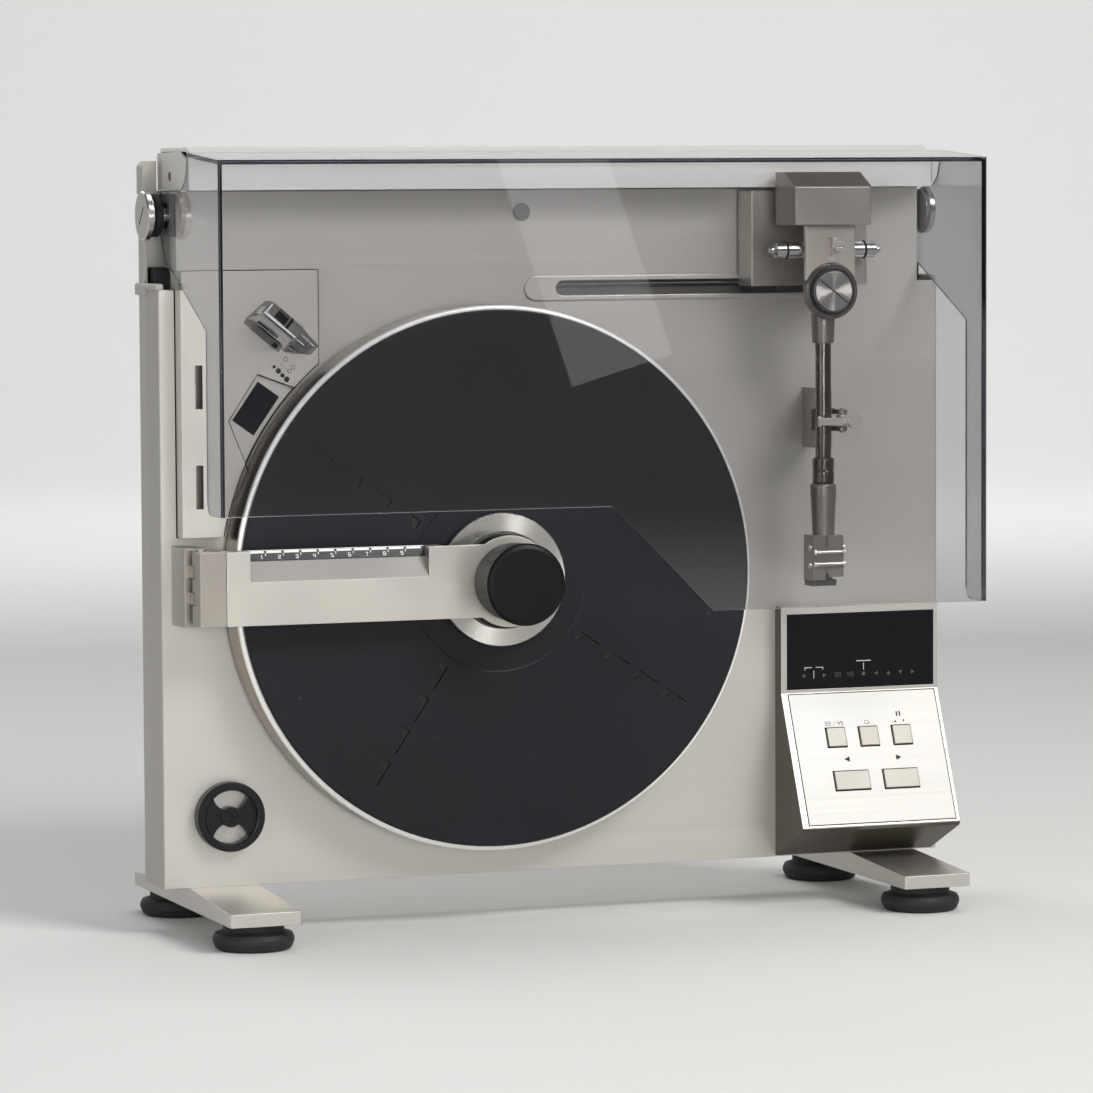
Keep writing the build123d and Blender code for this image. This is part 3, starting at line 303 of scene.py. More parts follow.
def clear_plastic(name, tint, rough=0.015, lamp=0.86, wav=0.05, ior=1.49, smears=True):
    "clear acrylic that lets lamps through to what is behind it"
    t = Tree(name)
    t.set(Base_Color=tint, Metallic=0.0, IOR=ior, Transmission_Weight=1.0)
    smear = t.noise((14, 14, 5), 4.0, 0.55, 0.8)
    hair = t.noise((700, 700, 24), 2.0, 0.6)
    if smears:
        t.link(t.mapr(t.math("ADD", t.math("MULTIPLY", smear, 0.7), t.math("MULTIPLY", hair, 0.3)), 0.35, 0.75, rough * 0.3, rough * 1.9), t.p.inputs["Roughness"])
    else:
        t.link(t.mapr(smear, 0.3, 0.7, rough * 0.5, rough), t.p.inputs["Roughness"])
    _, nrm = t.edge(0.0005)
    t.link(t.bump(t.noise((6, 6, 4), 1.0), wav, 0.0002, nrm), t.p.inputs["Normal"])
    tr = t.t.nodes.new("ShaderNodeBsdfTransparent")
    tr.inputs["Color"].default_value = (lamp, lamp, lamp * 1.01, 1.0)
    lp = t.t.nodes.new("ShaderNodeLightPath")
    mx = t.t.nodes.new("ShaderNodeMixShader")
    t.link(lp.outputs["Is Shadow Ray"], mx.inputs[0])
    t.link(t.p.outputs[0], mx.inputs[1])
    t.link(tr.outputs[0], mx.inputs[2])
    t.link(mx.outputs[0], t.out.inputs[0])
    return t.m


def cut_edge_painted_light(name):
    """cut edge of the clear sheet: painted deep blue-black as painted shade, with a painted highlight along the arris
    """
    t = Tree(name)
    g = t.noise((900, 900, 40), 2.0)
    mask, nrm = t.edge(0.0007)
    # painted shade: blue-black face; painted highlight: pale grey where the bevel mask finds the arris
    c = t.mix(t.math("MULTIPLY", mask, 0.85), t.mix(g, lin(14, 16, 27), lin(30, 33, 48)), (0.55, 0.56, 0.60))
    t.link(c, t.p.inputs["Base Color"])
    t.link(t.mapr(g, 0.3, 0.7, 0.12, 0.22), t.p.inputs["Roughness"])
    t.link(nrm, t.p.inputs["Normal"])
    t.set(IOR=1.49, Coat_Weight=0.3, Coat_Roughness=0.05)
    return t.m


def dark_window(name, col=(0.006, 0.006, 0.008), rough=0.07):
    t = Tree(name)
    s = t.noise((30, 30, 30), 4.0, 0.6, 0.5)
    t.set(Metallic=0.0, IOR=1.45, Specular_IOR_Level=0.10)
    return finish_mat(t, col, 0.25, s, rough, 0.025, s, t.noise((9, 9, 9), 2.0), 0.03, 0.0002, 0.0004, 0.4, (0.04, 0.04, 0.045), 0.05, specks(t, 560.0, 0.745, 0.79, 0.1), (0.12, 0.12, 0.125))


def print_ink(name, col, rough=0.5):
    "silk-screened ink: slightly broken up"
    t = Tree(name)
    g = t.noise((2400, 2400, 2400), 3.0)
    t.link(t.mix(g, tuple(x * 0.88 for x in col), col), t.p.inputs["Base Color"])
    t.link(t.mapr(g, 0.3, 0.7, rough - 0.08, rough + 0.08), t.p.inputs["Roughness"])
    t.link(t.bump(g, 0.1, 0.00002), t.p.inputs["Normal"])
    t.set(Specular_IOR_Level=0.08)
    return t.m


def platter_metal(name, col, rough, wear):
    """cast and turned platter with turned faces; made in a lit and a shaded copy, painted light and painted shade"""
    t = Tree(name)
    r, s = t.radius(-45.3, 191.7)
    v1 = t.t.nodes.new("ShaderNodeCombineXYZ")
    t.link(t.math("MULTIPLY", r, 2.2), v1.inputs[0])
    t.link(t.math("MULTIPLY", s.outputs["Y"], 2200.0), v1.inputs[1])
    rings = t.noise(vec=v1.outputs[0], detail=3.0, rough=0.65)
    cloud = t.noise((25, 25, 25), 3.0)
    t.set(Metallic=0.95, Anisotropic=0.3)
    t.fan(-45.3, 191.7)
    return finish_mat(t, col, 0.07, rings, rough, 0.05, cloud, rings, 0.15, 0.00005, 0.0005, 0.4, wear, -0.1)


PANEL = lin(200, 197, 191)
M = {}
M["panel"] = brushed("panel_alu", PANEL, 0.44, 0.72, "x", 0.05, 0.45, 0.0006, 0.22, 0.55)
M["panel_v"] = brushed("side_alu", lin(184, 181, 174), 0.44, 0.7, "z", 0.05, 0.45, 0.0006, 0.2)
M["bar"] = brushed("bar_alu", lin(240, 239, 235), 0.34, 0.40, "x", 0.05, 0.5, 0.0005, 0.25, 0.35)
M["foot_bar"] = brushed("foot_alu", lin(208, 205, 198), 0.34, 0.9, "y", 0.06, 0.55, 0.0006, 0.3, 0.4)
M["rear"] = moulded("rear_plastic", lin(168, 165, 158), 0.45, 1100.0, 0.22, 0.05, 0.35, 0.10, 0.0007)
M["cap"] = moulded("cap_plastic", lin(205, 202, 196), 0.40, 1400.0, 0.15, 0.06, 0.4, 0.0, 0.0005)
M["steel"] = satin("screw_steel", lin(165, 163, 160), 0.26, 1.0, 0.08, 0.4, 0.0002, 2600.0, 0.15)
# lighter finish, painted light, for the upper chassis and the inner rear faces that fall in shade
M["chassis"] = satin("chassis_steel", lin(222, 219, 212), 0.5, 0.25, 0.05, 0.4, 0.0006, 1500.0, 0.2)
M["raised"] = satin("raised_cover", lin(198, 195, 188), 0.46, 0.70, 0.04, 0.55, 0.0005, 2000.0, 0.18)
M["housing"] = satin("housing_alu", lin(168, 164, 156), 0.42, 0.5, 0.05, 0.5, 0.0006, 1800.0, 0.2)
M["fascia"] = brushed("fascia_alu", lin(198, 197, 193), 0.52, 0.30, "x", 0.035, 0.3, 0.0003, 0.15, 0.3)
M["mat"] = rubber_mat()
# dark brownish copy for the platter's side wall, painted shade; a bright copy for its front ring, painted light
M["platter"] = platter_metal("platter_alu", lin(144, 134, 121), 0.24, lin(240, 238, 232))
t = platter_metal("platter_front_painted_light", lin(238, 237, 233), 0.34, lin(250, 249, 246))
t.node_tree.nodes["Principled BSDF"].inputs["Metallic"].default_value = 0.35
M["platter_front_painted_light"] = t
M["spindle"] = turned_y("bearing_steel", lin(215, 213, 210), -45.3, 191.7, 0.16, 0.4, 0.4)
M["motor"] = satin("motor_dark", lin(92, 86, 80), 0.45, 0.7, 0.12, 0.4, 0.0006, 900.0, 0.3)
M["iron"] = satin("transformer_iron", lin(70, 66, 66), 0.5, 0.6, 0.15, 0.4, 0.0006, 500.0, 0.35)
M["arm_grey"] = satin("arm_grey", lin(146, 139, 133), 0.34, 0.9, 0.06, 0.6, 0.0004, 2600.0, 0.14)
M["block"] = brushed("block_alu", lin(190, 182, 175), 0.36, 0.9, "x", 0.07, 0.5, 0.0005, 0.3)
# darker copy of the weight finish, painted shade
M["weight_painted_shade"] = satin("weight_grey_painted_shade", lin(128, 121, 115), 0.36, 0.85, 0.05, 0.7, 0.0005, 3000.0, 0.08)
M["weight"] = satin("weight_grey", lin(190, 182, 174), 0.34, 0.85, 0.05, 0.7, 0.0005, 3000.0, 0.08)
M["tube"] = satin("tube_alu", lin(126, 120, 114), 0.14, 1.0, 0.06, 0.35, 0.0003, 2600.0, 0.06)
M["chrome"] = turned_x("arm_chrome", lin(214, 212, 210), -42, 370, 0.16)
M["ring_metal"] = turned_y("dial_seat_alu", lin(128, 122, 118), 142, 347.4, 0.30, 0.4, 0.5)
M["dial"] = turned_y("dial_face", lin(206, 203, 198), 142, 347.4, 0.30, 0.96, 0.28, 0.10, 0.10)
M["disc"] = turned_y("clamp_disc_alu", lin(190, 188, 182), -45.3, 191.7, 0.28, 0.95, 0.45, 0.05, 0.08)
M["clamp"] = satin("clamp_arm_alu", lin(203, 199, 191), 0.38, 0.9, 0.04, 0.6, 0.0005, 2600.0, 0.25)
M["clamp_base"] = satin("clamp_base_alu", lin(168, 163, 155), 0.36, 0.9, 0.06, 0.6, 0.0006, 2400.0, 0.2)
M["key"] = moulded("key_ivory", lin(182, 177, 166), 0.38, 2000.0, 0.12, 0.05, 0.35, 0.0, 0.0004)
M["black"] = moulded("adapter_black", lin(19, 19, 20), 0.34, 1700.0, 0.12, 0.15, 0.3, 0.0, 0.0006, 0.0, 0.28)
M["knob"] = moulded("knob_black", lin(7, 7, 8), 0.42, 1500.0, 0.15, 0.15, 0.2, 0.0, 0.0008, 0.0, 0.2)
M["strip"] = moulded("scale_black", lin(20, 20, 21), 0.40, 2000.0, 0.15, 0.15, 0.4, 0.2, 0.0003)
M["rubber"] = black_rubber("rubber_black")
M["foot_rubber"] = black_rubber("foot_rubber", lin(40, 39, 39), 0.6)
M["board"] = moulded("board_green", lin(40, 82, 52), 0.35, 500.0, 0.25, 0.25, 0.4, 0.0, 0.0003, 0.3)
M["window"] = dark_window("smoked_window", lin(22, 24, 30), 0.12)
M["display"] = dark_window("display_black")
M["acrylic"] = clear_plastic("cover_acrylic", (0.63, 0.63, 0.643), 0.004, 0.80, 0.02, 1.49, False)
M["prism"] = clear_plastic("clear_acrylic", (0.97, 0.97, 0.965), 0.02, 0.9, 0.15)
M["edge"] = cut_edge_painted_light("cover_edge_painted_light")
# white ink for the printed scale and symbols, also used for the painted highlights on the clear bar
M["white_print_and_painted_highlight"] = print_ink("ink_white_and_painted_highlight", (0.86, 0.86, 0.84))
M["dim_ink"] = print_ink("ink_dim", (0.10, 0.10, 0.10))
M["dark_ink"] = print_ink("ink_dark", (0.03, 0.03, 0.03))
# black plastic for the black parts, and also painted shade inside slots, holes and pockets
M["black_and_painted_shade"] = moulded("slot_black_and_painted_shade", lin(24, 24, 25), 0.5, 1500.0, 0.2)
M["bevel"] = satin("bevel_alu", lin(134, 132, 128), 0.55, 0.45, 0.04, 0.3, 0.0004, 1800.0, 0.15)
M["frost"] = clear_plastic("frosted_acrylic", (0.95, 0.95, 0.945), 0.35, 0.85, 0.6)
M["gap"] = moulded("gap_shadow", lin(16, 15, 15), 0.8, 900.0, 0.1, 0.2, 0.2, 0.0, 0.0002, 0.0, 0.0)
M["clip"] = satin("clip_steel", lin(214, 208, 202), 0.26, 0.6, 0.08, 0.5, 0.0003, 2200.0, 0.1)
M["plate"] = satin("arm_plate", lin(200, 192, 183), 0.34, 0.7, 0.05, 0.6, 0.0004, 2800.0, 0.1)
M["hinge"] = turned_x("hinge_steel", lin(196, 194, 189), 18, 391.5, 0.24)
# darker copy of the housing finish, painted shade for its sides and underside
M["housing_painted_shade"] = satin("housing_painted_shade", lin(84, 80, 70), 0.45, 0.6, 0.06, 0.5, 0.0006, 1800.0, 0.15)
M["frame"] = brushed("frame_alu", lin(184, 181, 175), 0.38, 0.55, "x", 0.05, 0.5, 0.0005, 0.2)
M["brass"] = satin("contact_brass", lin(190, 160, 90), 0.3, 1.0, 0.08, 0.3, 0.0003)

ASSIGN = {
    "front_panel": "panel", "chassis_frame": "panel_v", "rear_cover": "rear", "top_bar": "bar", "bar_end_caps": "cap",
    "cabinet_screws": "steel", "foot_bars": "foot_bar", "feet": "foot_rubber", "sensor_cover": "raised", "sensor_window": "window",
    "strobe_prism": "prism", "platter": "platter", "platter_mat": "mat", "spindle": "spindle", "motor_stator": "motor",
    "adapter_45": "black", "adapter_peg": "black", "slot_bezel": "panel", "guide_rods": "steel", "lead_screw": "steel",
    "carriage_motor": "motor", "carriage_slider": "black_and_painted_shade", "carriage_block": "block", "pivot_axle": "chrome",
    "pivot_rings": "rubber", "arm_base": "plate", "arm_lock_tab": "clip", "counterweight": "weight", "dial_seat": "ring_metal",
    "force_dial": "dial", "dial_ring": "black_and_painted_shade", "arm_collar": "arm_grey", "arm_tube": "tube", "head_socket": "arm_grey",
    "headshell": "arm_grey", "head_rods": "chrome", "cartridge": "black_and_painted_shade", "arm_rest": "arm_grey", "rest_clip": "clip",
    "control_housing": "housing", "control_fascia": "fascia", "display_window": "display", "key_speed": "key", "key_repeat": "key",
    "key_lift": "key", "key_start": "key", "key_stop": "key", "control_board": "board", "clamp_hinge_base": "clamp_base",
    "clamp_arm_root": "clamp_base", "clamp_arm": "clamp", "scale_strip": "strip", "clamp_disc": "disc", "clamp_knob": "knob",
    "dust_cover": "acrylic", "hinge_knobs": "hinge", "cover_rubbers": "rubber", "main_board": "board", "transformer": "iron",
    "rear_sockets": "black",
}
for name, o in N.items():
    o.data.materials.clear()
    o.data.materials.append(M[ASSIGN[name]])
    for f in o.data.polygons:
        f.material_index = 0


def repaint(node, mat, test):
    "gives the faces of a node that pass a test another finish"
    o = N[node]
    o.data.materials.append(M[mat])
    k = len(o.data.materials) - 1
    for f in o.data.polygons:
        c = f.center
        if test(Vector((c.x * 1000, c.y * 1000 + 12.0, c.z * 1000)), f.normal):
            f.material_index = k


# cut edges of the clear cover, painted blue-black as painted shade with a painted highlight on the arris: bottoms, rear
# edges of the sides, the diagonal
def is_cut(c, n):
    if abs(n.x) > 0.9:
        return False
    side = abs(c.x) > 218.5
    if side and c.y > -85.9 and (abs(n.y) > 0.3 or abs(n.z) > 0.3) and not (n.z > 0.9 and c.y < -28):
        return True
    if not side and c.y < -83.3 and n.z < -0.5:
        return True
    if not side and abs(n.x) > 0.3 and n.z < -0.3:
        return True
    if not side and n.y > 0.7 and c.z > 421.5 and c.y > -30:
        return True
    return False


repaint("dust_cover", "edge", is_cut)
repaint("front_panel", "panel_v", lambda c, n: abs(n.x) > 0.7)
# painted light: the front-facing faces of the platter get the bright copy
repaint("platter", "platter_front_painted_light", lambda c, n: n.y < -0.3 and c.y < -21)
repaint("control_housing", "frame", lambda c, n: n.y < -0.5)
# painted shade: the left and right sides and the underside of the control housing get the darker copy
repaint("control_housing", "housing_painted_shade", lambda c, n: abs(n.x) > 0.9 or n.z < -0.2)
repaint("clamp_arm", "bevel", lambda c, n: -194 < c.x < -91 and n.z > 0.3 and n.y < -0.5 and c.z > 195)
# painted light: the upper chassis walls get the lighter finish to lift the shade in the notch
repaint("chassis_frame", "chassis", lambda c, n: abs(c.x) < 225 and c.z > 352)
repaint("clamp_disc", "knob", lambda c, n: c.y < -33.25)
# painted shade: the pocket floors of the record mat painted black
repaint("platter_mat", "black_and_painted_shade", lambda c, n: n.y < -0.9 and c.y > -25.6)
# painted shade: the top and left-facing faces of the counterweight get the darker copy of its finish
repaint("counterweight", "weight_painted_shade", lambda c, n: n.z > 0.2 or n.x < -0.5)
# painted shade: the slot in the dial face painted black
repaint("force_dial", "black_and_painted_shade", lambda c, n: -55.3 < c.y < -54.5 and math.hypot(c.x - 142, c.z - 347.4) < 11.4)
# painted light: the inner faces of the rear cover up top get the lighter finish
repaint("rear_cover", "chassis", lambda c, n: c.z > 352 and n.y < -0.5 and c.y > 30)
repaint("strobe_prism", "frost", lambda c, n: (c.x + 166.5) * 0.766 - (c.z - 328.5) * 0.643 > 7.0 and n.y < -0.5)
# painted shade: the walls of the recess round the window in the raised cover painted near black
repaint("sensor_cover", "gap", lambda c, n: -11.01 < c.y < -9.7 and -196 < c.x < -148 and 248 < c.z < 307.5 and abs(n.y) < 0.3 and math.hypot(c.x + 45.3, c.z - 191.7) > 155.4)
DOTS = [(-168.4, 309.6, 0.9), (-166.0, 307.3, 1.5), (-163.7, 304.9, 1.2), (-161.3, 302.7, 1.5)]
# painted shade: the insides of the four dot holes painted black
repaint("sensor_cover", "black_and_painted_shade", lambda c, n: c.y > -10.99 and any(math.hypot(c.x - a, c.z - b) < r + 0.15 for a, b, r in DOTS))
# painted shade: the two slots in the raised cover painted black inside
repaint("sensor_cover", "black_and_painted_shade", lambda c, n: -10.99 < c.y < -0.5 and -212.8 < c.x < -208.2 and (233 < c.z < 257.5 or 287 < c.z < 311.5))
# painted shade: the walls of the slot in the front panel painted black
repaint("front_panel", "black_and_painted_shade", lambda c, n: 0 < c.x < 158 and 345 < c.z < 354.5 and abs(n.y) < 0.5)
repaint("spindle", "motor", lambda c, n: math.hypot(c.x + 45.3, c.z - 191.7) > 55)
repaint("front_panel", "steel", lambda c, n: math.hypot(c.x + 21.7, c.z - 392.1) < 5.2 and c.y < 0.01 and c.y < -0.1)
# painted shade: the slot walls of the bezel painted black
repaint("slot_bezel", "black_and_painted_shade", lambda c, n: abs(n.y) < 0.5 and 344.9 < c.z < 354.7 and 0 < c.x < 158)

# ------------------------------------------------------------------ small printed and fitted pieces


def mesh_obj(name, bm, mat, body, smooth=False):
    me = bpy.data.meshes.new(name)
    bmesh.ops.recalc_face_normals(bm, faces=bm.faces)
    bm.to_mesh(me)
    bm.free()
    o = bpy.data.objects.new(name, me)
    bpy.context.scene.collection.objects.link(o)
    me.materials.append(M[mat])
    for f in me.polygons:
        f.use_smooth = smooth
    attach(o, body)
    return o


def slab(bm, pts, origin, ex, ey, en, n0, n1):
    "thin plate: outline pts (mm) on a plane, from height n0 to n1"
    lo = [bm.verts.new(origin + (ex * a + ey * b + en * n0) * 0.001) for a, b in pts]
    hi = [bm.verts.new(origin + (ex * a + ey * b + en * n1) * 0.001) for a, b in pts]
    k = len(pts)
    bm.faces.new(lo[::-1])
    bm.faces.new(hi)
    for i in range(k):
        bm.faces.new((lo[i], lo[(i + 1) % k], hi[(i + 1) % k], hi[i]))


SEG = {  # strokes of plain numerals on a 1 x 1.6 grid
    "0": [(0, 0, 1, 0), (1, 0, 1, 1.6), (1, 1.6, 0, 1.6), (0, 1.6, 0, 0)], "1": [(0.5, 0, 0.5, 1.6), (0.5, 1.6, 0.2, 1.25)],
    "2": [(0, 1.6, 1, 1.6), (1, 1.6, 1, 0.8), (1, 0.8, 0, 0.8), (0, 0.8, 0, 0), (0, 0, 1, 0)],
    "3": [(0, 1.6, 1, 1.6), (1, 1.6, 1, 0), (0, 0.8, 1, 0.8), (0, 0, 1, 0)], "4": [(0, 1.6, 0, 0.7), (0, 0.7, 1, 0.7), (0.8, 1.6, 0.8, 0)],
    "5": [(1, 1.6, 0, 1.6), (0, 1.6, 0, 0.85), (0, 0.85, 1, 0.85), (1, 0.85, 1, 0), (1, 0, 0, 0)],
    "6": [(1, 1.6, 0, 1.6), (0, 1.6, 0, 0), (0, 0, 1, 0), (1, 0, 1, 0.8), (1, 0.8, 0, 0.8)], "7": [(0, 1.6, 1, 1.6), (1, 1.6, 0.4, 0)],
    "8": [(0, 0, 1, 0), (1, 0, 1, 1.6), (1, 1.6, 0, 1.6), (0, 1.6, 0, 0), (0, 0.8, 1, 0.8)],
    "9": [(1, 0.8, 0, 0.8), (0, 0.8, 0, 1.6), (0, 1.6, 1, 1.6), (1, 1.6, 1, 0), (1, 0, 0, 0)],
}


def stroke(bm, x0, y0, x1, y1, w, O, ex, ey, en, n0, n1):
    d = Vector((x1 - x0, y1 - y0))
    if d.length < 1e-6:
        return
    d.normalize()
    q = Vector((-d.y, d.x)) * w / 2
    e = d * w / 2
    pts = [(x0 - e.x - q.x, y0 - e.y - q.y), (x1 + e.x - q.x, y1 + e.y - q.y), (x1 + e.x + q.x, y1 + e.y + q.y), (x0 - e.x + q.x, y0 - e.y + q.y)]
    slab(bm, pts, O, ex, ey, en, n0, n1)


def number(bm, text, x, y, h, w, O, ex, ey, en, n0, n1):
    k = h / 1.6
    adv = 1.55 * k
    x -= (len(text) * adv - 0.55 * k) / 2
    for ch in text:
        for a, b, c, d in SEG.get(ch, []):
            stroke(bm, x + a * k, y + (b - 0.8) * k, x + c * k, y + (d - 0.8) * k, w, O, ex, ey, en, n0, n1)
        x += adv


def tri(bm, x, y, s, way, O, ex, ey, en, n0, n1):
    p = {"l": [(-1, 0), (0.8, -0.9), (0.8, 0.9)], "r": [(1, 0), (-0.8, 0.9), (-0.8, -0.9)], "u": [(0, 1), (-0.9, -0.8), (0.9, -0.8)], "d": [(0, -1), (0.9, 0.8), (-0.9, 0.8)]}[way]
    slab(bm, [(x + a * s / 2, y + b * s / 2) for a, b in p], O, ex, ey, en, n0, n1)


# scale on the clamp arm: a dash for each step with its number under it
BA = math.atan2(212.0 - 195.9, 45.7 - 36.4)
bv = Vector((0, math.cos(BA), math.sin(BA)))
bn = Vector((0, -math.sin(BA), math.cos(BA)))
O = P((-193.1 - 92.2) / 2, -45.7, 195.9) + bv * 0.0154 + bn * 0.0005
ex = Vector((1, 0, 0))
bm = bmesh.new()
for k in range(10):
    x0 = -49.6 + 9.9 * k
    slab(bm, [(x0 + 0.7, 1.5), (x0 + 9.1, 1.5), (x0 + 9.1, 2.75), (x0 + 0.7, 2.75)], O, ex, bv, bn, 0.01, 0.05)
    if k < 9:
        slab(bm, [(x0 + 9.7, -0.1), (x0 + 10.1, -0.1), (x0 + 10.1, 1.3), (x0 + 9.7, 1.3)], O, ex, bv, bn, 0.01, 0.05)
        number(bm, str(k + 1), x0 + 7.6, -0.9, 2.0, 0.30, O, ex, bv, bn, 0.01, 0.05)
mesh_obj("scale_print", bm, "white_print_and_painted_highlight", "clamp_arm_body")

# shadow gap round the raised cover, and dark lines beside its adjusters along the edges of its recess, all painted
# shadow
O = P(0, 0, 0)
ez, en = Vector((0, 0, 1)), Vector((0, -1, 0))
bm = bmesh.new()
for a, b, c, d, h in ((-142.98, 311.2, -142.98, 361.6, 10.9), (-220.6, 361.75, -142.9, 361.75, 0.6), (-220.65, 218.0, -220.65, 351.4, 0.6), (-220.6, 217.75, -197.6, 217.75, 0.6)):
    stroke(bm, a, b, c, d, 0.42, O, ex, ez, en, 0.02, h)
for k in range(40):
    a, b = (math.radians(129.4 + 40.6 * (k + i) / 40) for i in (0, 1))
    stroke(bm, -45.3 + 154.15 * math.cos(a), 191.7 + 154.15 * math.sin(a), -45.3 + 154.15 * math.cos(b), 191.7 + 154.15 * math.sin(b), 0.5, O, ex, ez, en, 0.02, 10.9)
for a, b, c, d in ((-177.8, 305.6, -194.3, 280.8), (-194.3, 280.8, -182.6, 251.6), (-177.8, 305.6, -156.6, 297.9)):
    stroke(bm, a, b, c, d, 0.40, O, ex, ez, en, 9.85, 10.98)
mesh_obj("sensor_gap", bm, "gap", "cabinet")
bm = bmesh.new()
O = P(0, -11.0, 0)
for k in range(12):
    a, b = math.radians(30 * k), math.radians(30 * k + 30)
    stroke(bm, -161.8 + 1.1 * math.cos(a), 313.6 + 1.1 * math.sin(a), -161.8 + 1.1 * math.cos(b), 313.6 + 1.1 * math.sin(b), 0.28, O, ex, ez, en, 0.0, 0.04)
for qx, qz in ((-157.6, 309.2), (-159.6, 307.2)):
    for a, b, c, d in ((-0.9, -0.9, 0.9, -0.9), (0.9, -0.9, 0.9, 0.9), (0.9, 0.9, -0.9, 0.9), (-0.9, 0.9, -0.9, -0.9)):
        stroke(bm, qx + a, qz + b, qx + c, qz + d, 0.28, O, ex, ez, en, 0.0, 0.04)
for k in range(3):
    stroke(bm, -164.4 + 1.5 * k, 310.8 - 1.6 * k, -163.4 + 1.5 * k, 310.2 - 1.6 * k, 0.3, O, ex, ez, en, 0.0, 0.04)
mesh_obj("sensor_marks", bm, "dark_ink", "cabinet")

# facets of the clear bar, drawn as painted light: a painted highlight stripe along its ridge, dark inserts as painted
# shade, lines down its sloping side
pa, pb, pn = Vector((0.766, 0, -0.643)), Vector((0.643, 0, 0.766)), Vector((0, -1, 0))
O = P(-166.5, -11.0, 328.5)
bm = bmesh.new()
slab(bm, [(-16.2, 0.5), (6.0, 0.9), (6.0, 1.9), (-16.0, 2.1)], O, pa, pb, pn, 15.0, 15.06)
slab(bm, [(-15.8, 2.4), (-14.9, 2.4), (-14.9, 7.2), (-15.6, 7.2)], O, pa, pb, pn, 15.0, 15.06)
for a0, a1, w, h in ((-15.0, -6.0, -2.6, 7.4), (-12.0, 3.0, -4.0, 4.0), (-3.0, 6.0, -1.3, 10.6), (8.0, 14.0, 2.0, 9.6), (9.0, 19.0, 5.6, 7.4)):
    slab(bm, [(a0, w), (a1, w), (a1, w + 0.45), (a0, w + 0.45)], O, pa, pb, pn, h, h + 0.2)
mesh_obj("prism_painted_highlight", bm, "white_print_and_painted_highlight", "cabinet")
bm = bmesh.new()
slab(bm, [(-9.6, 3.0), (-2.2, 3.0), (-2.2, 7.6), (-9.6, 7.6)], O, pa, pb, pn, 10.4, 10.8)
slab(bm, [(-13.0, -3.6), (-5.5, -3.6), (-5.5, 0.2), (-13.0, 0.2)], O, pa, pb, pn, 3.2, 3.6)
for w in (-4.8, -3.4, -2.0):
    slab(bm, [(-16.0, w), (7.0, w), (7.0, w + 0.28), (-16.0, w + 0.28)], O, pa, pb, pn, 0.6, 0.9)
slab(bm, [(1.6, -8.0), (4.6, -8.0), (4.6, -5.6), (1.6, -5.6)], O, pa, pb, pn, 2.22, 2.3)
slab(bm, [(-1.0, 2.4), (0.2, 2.4), (0.2, 8.2), (-1.0, 8.2)], O, pa, pb, pn, 9.0, 12.0)
slab(bm, [(-8.0, -4.2), (5.0, -4.2), (5.0, -3.9), (-8.0, -3.9)], O, pa, pb, pn, 2.0, 3.4)
slab(bm, [(-14.6, 1.2), (6.0, 1.2), (6.0, 1.5), (-14.6, 1.5)], O, pa, pb, pn, 11.0, 14.6)
slab(bm, [(9.0, 1.0), (17.0, 2.6), (17.0, 2.9), (9.0, 1.3)], O, pa, pb, pn, 1.0, 6.5)
for k in range(5):
    slab(bm, [(8.6 + 2.3 * k, 3.4), (9.2 + 2.3 * k, 3.4), (9.2 + 2.3 * k, 6.8), (8.6 + 2.3 * k, 6.8)], O, pa, pb, pn, 1.0, 3.2)
mesh_obj("prism_painted_shade", bm, "gap", "cabinet")

# clamping rods across the headshell with their nuts, in a recess whose back plate is painted dark as painted shade
def rod_x(bm, x0, x1, y, z, r, n=20):
    a = [bm.verts.new(P(x0, y + r * math.cos(2 * math.pi * k / n), z + r * math.sin(2 * math.pi * k / n))) for k in range(n)]
    b = [bm.verts.new(P(x1, y + r * math.cos(2 * math.pi * k / n), z + r * math.sin(2 * math.pi * k / n))) for k in range(n)]
    bm.faces.new(a[::-1])
    bm.faces.new(b)
    for k in range(n):
        bm.faces.new((a[k], a[(k + 1) % n], b[(k + 1) % n], b[k]))


bm = bmesh.new()
for z in (202.2, 195.6):
    rod_x(bm, 134.6, 150.4, -47.2, z, 0.95)
    rod_x(bm, 133.3, 134.6, -47.2, z, 1.65, 6)
    rod_x(bm, 150.4, 152.0, -47.2, z, 1.65, 6)
    rod_x(bm, 141.2, 142.4, -47.2, z, 1.35, 20)
mesh_obj("head_clamp_rods", bm, "chrome", "tonearm", False)
bm = bmesh.new()
# painted shade: dark plate behind the rods where the recess is in shade
slab(bm, [(133.2, 192.8), (151.4, 192.8), (151.4, 205.0), (133.2, 205.0)], P(0, 0, 0), ex, Vector((0, 0, 1)), Vector((0, -1, 0)), 46.4, 46.62)
mesh_obj("head_recess_painted_shade", bm, "weight_painted_shade", "tonearm")


def disc_x(bm, x, out, y, z, r, h, n=28):
    a = [bm.verts.new(P(x, y + r * math.cos(2 * math.pi * k / n), z + r * math.sin(2 * math.pi * k / n))) for k in range(n)]
    b = [bm.verts.new(P(x + out * h, y + 0.86 * r * math.cos(2 * math.pi * k / n), z + 0.86 * r * math.sin(2 * math.pi * k / n))) for k in range(n)]
    bm.faces.new(a[::-1])
    bm.faces.new(b)
    for k in range(n):
        bm.faces.new((a[k], a[(k + 1) % n], b[(k + 1) % n], b[k]))


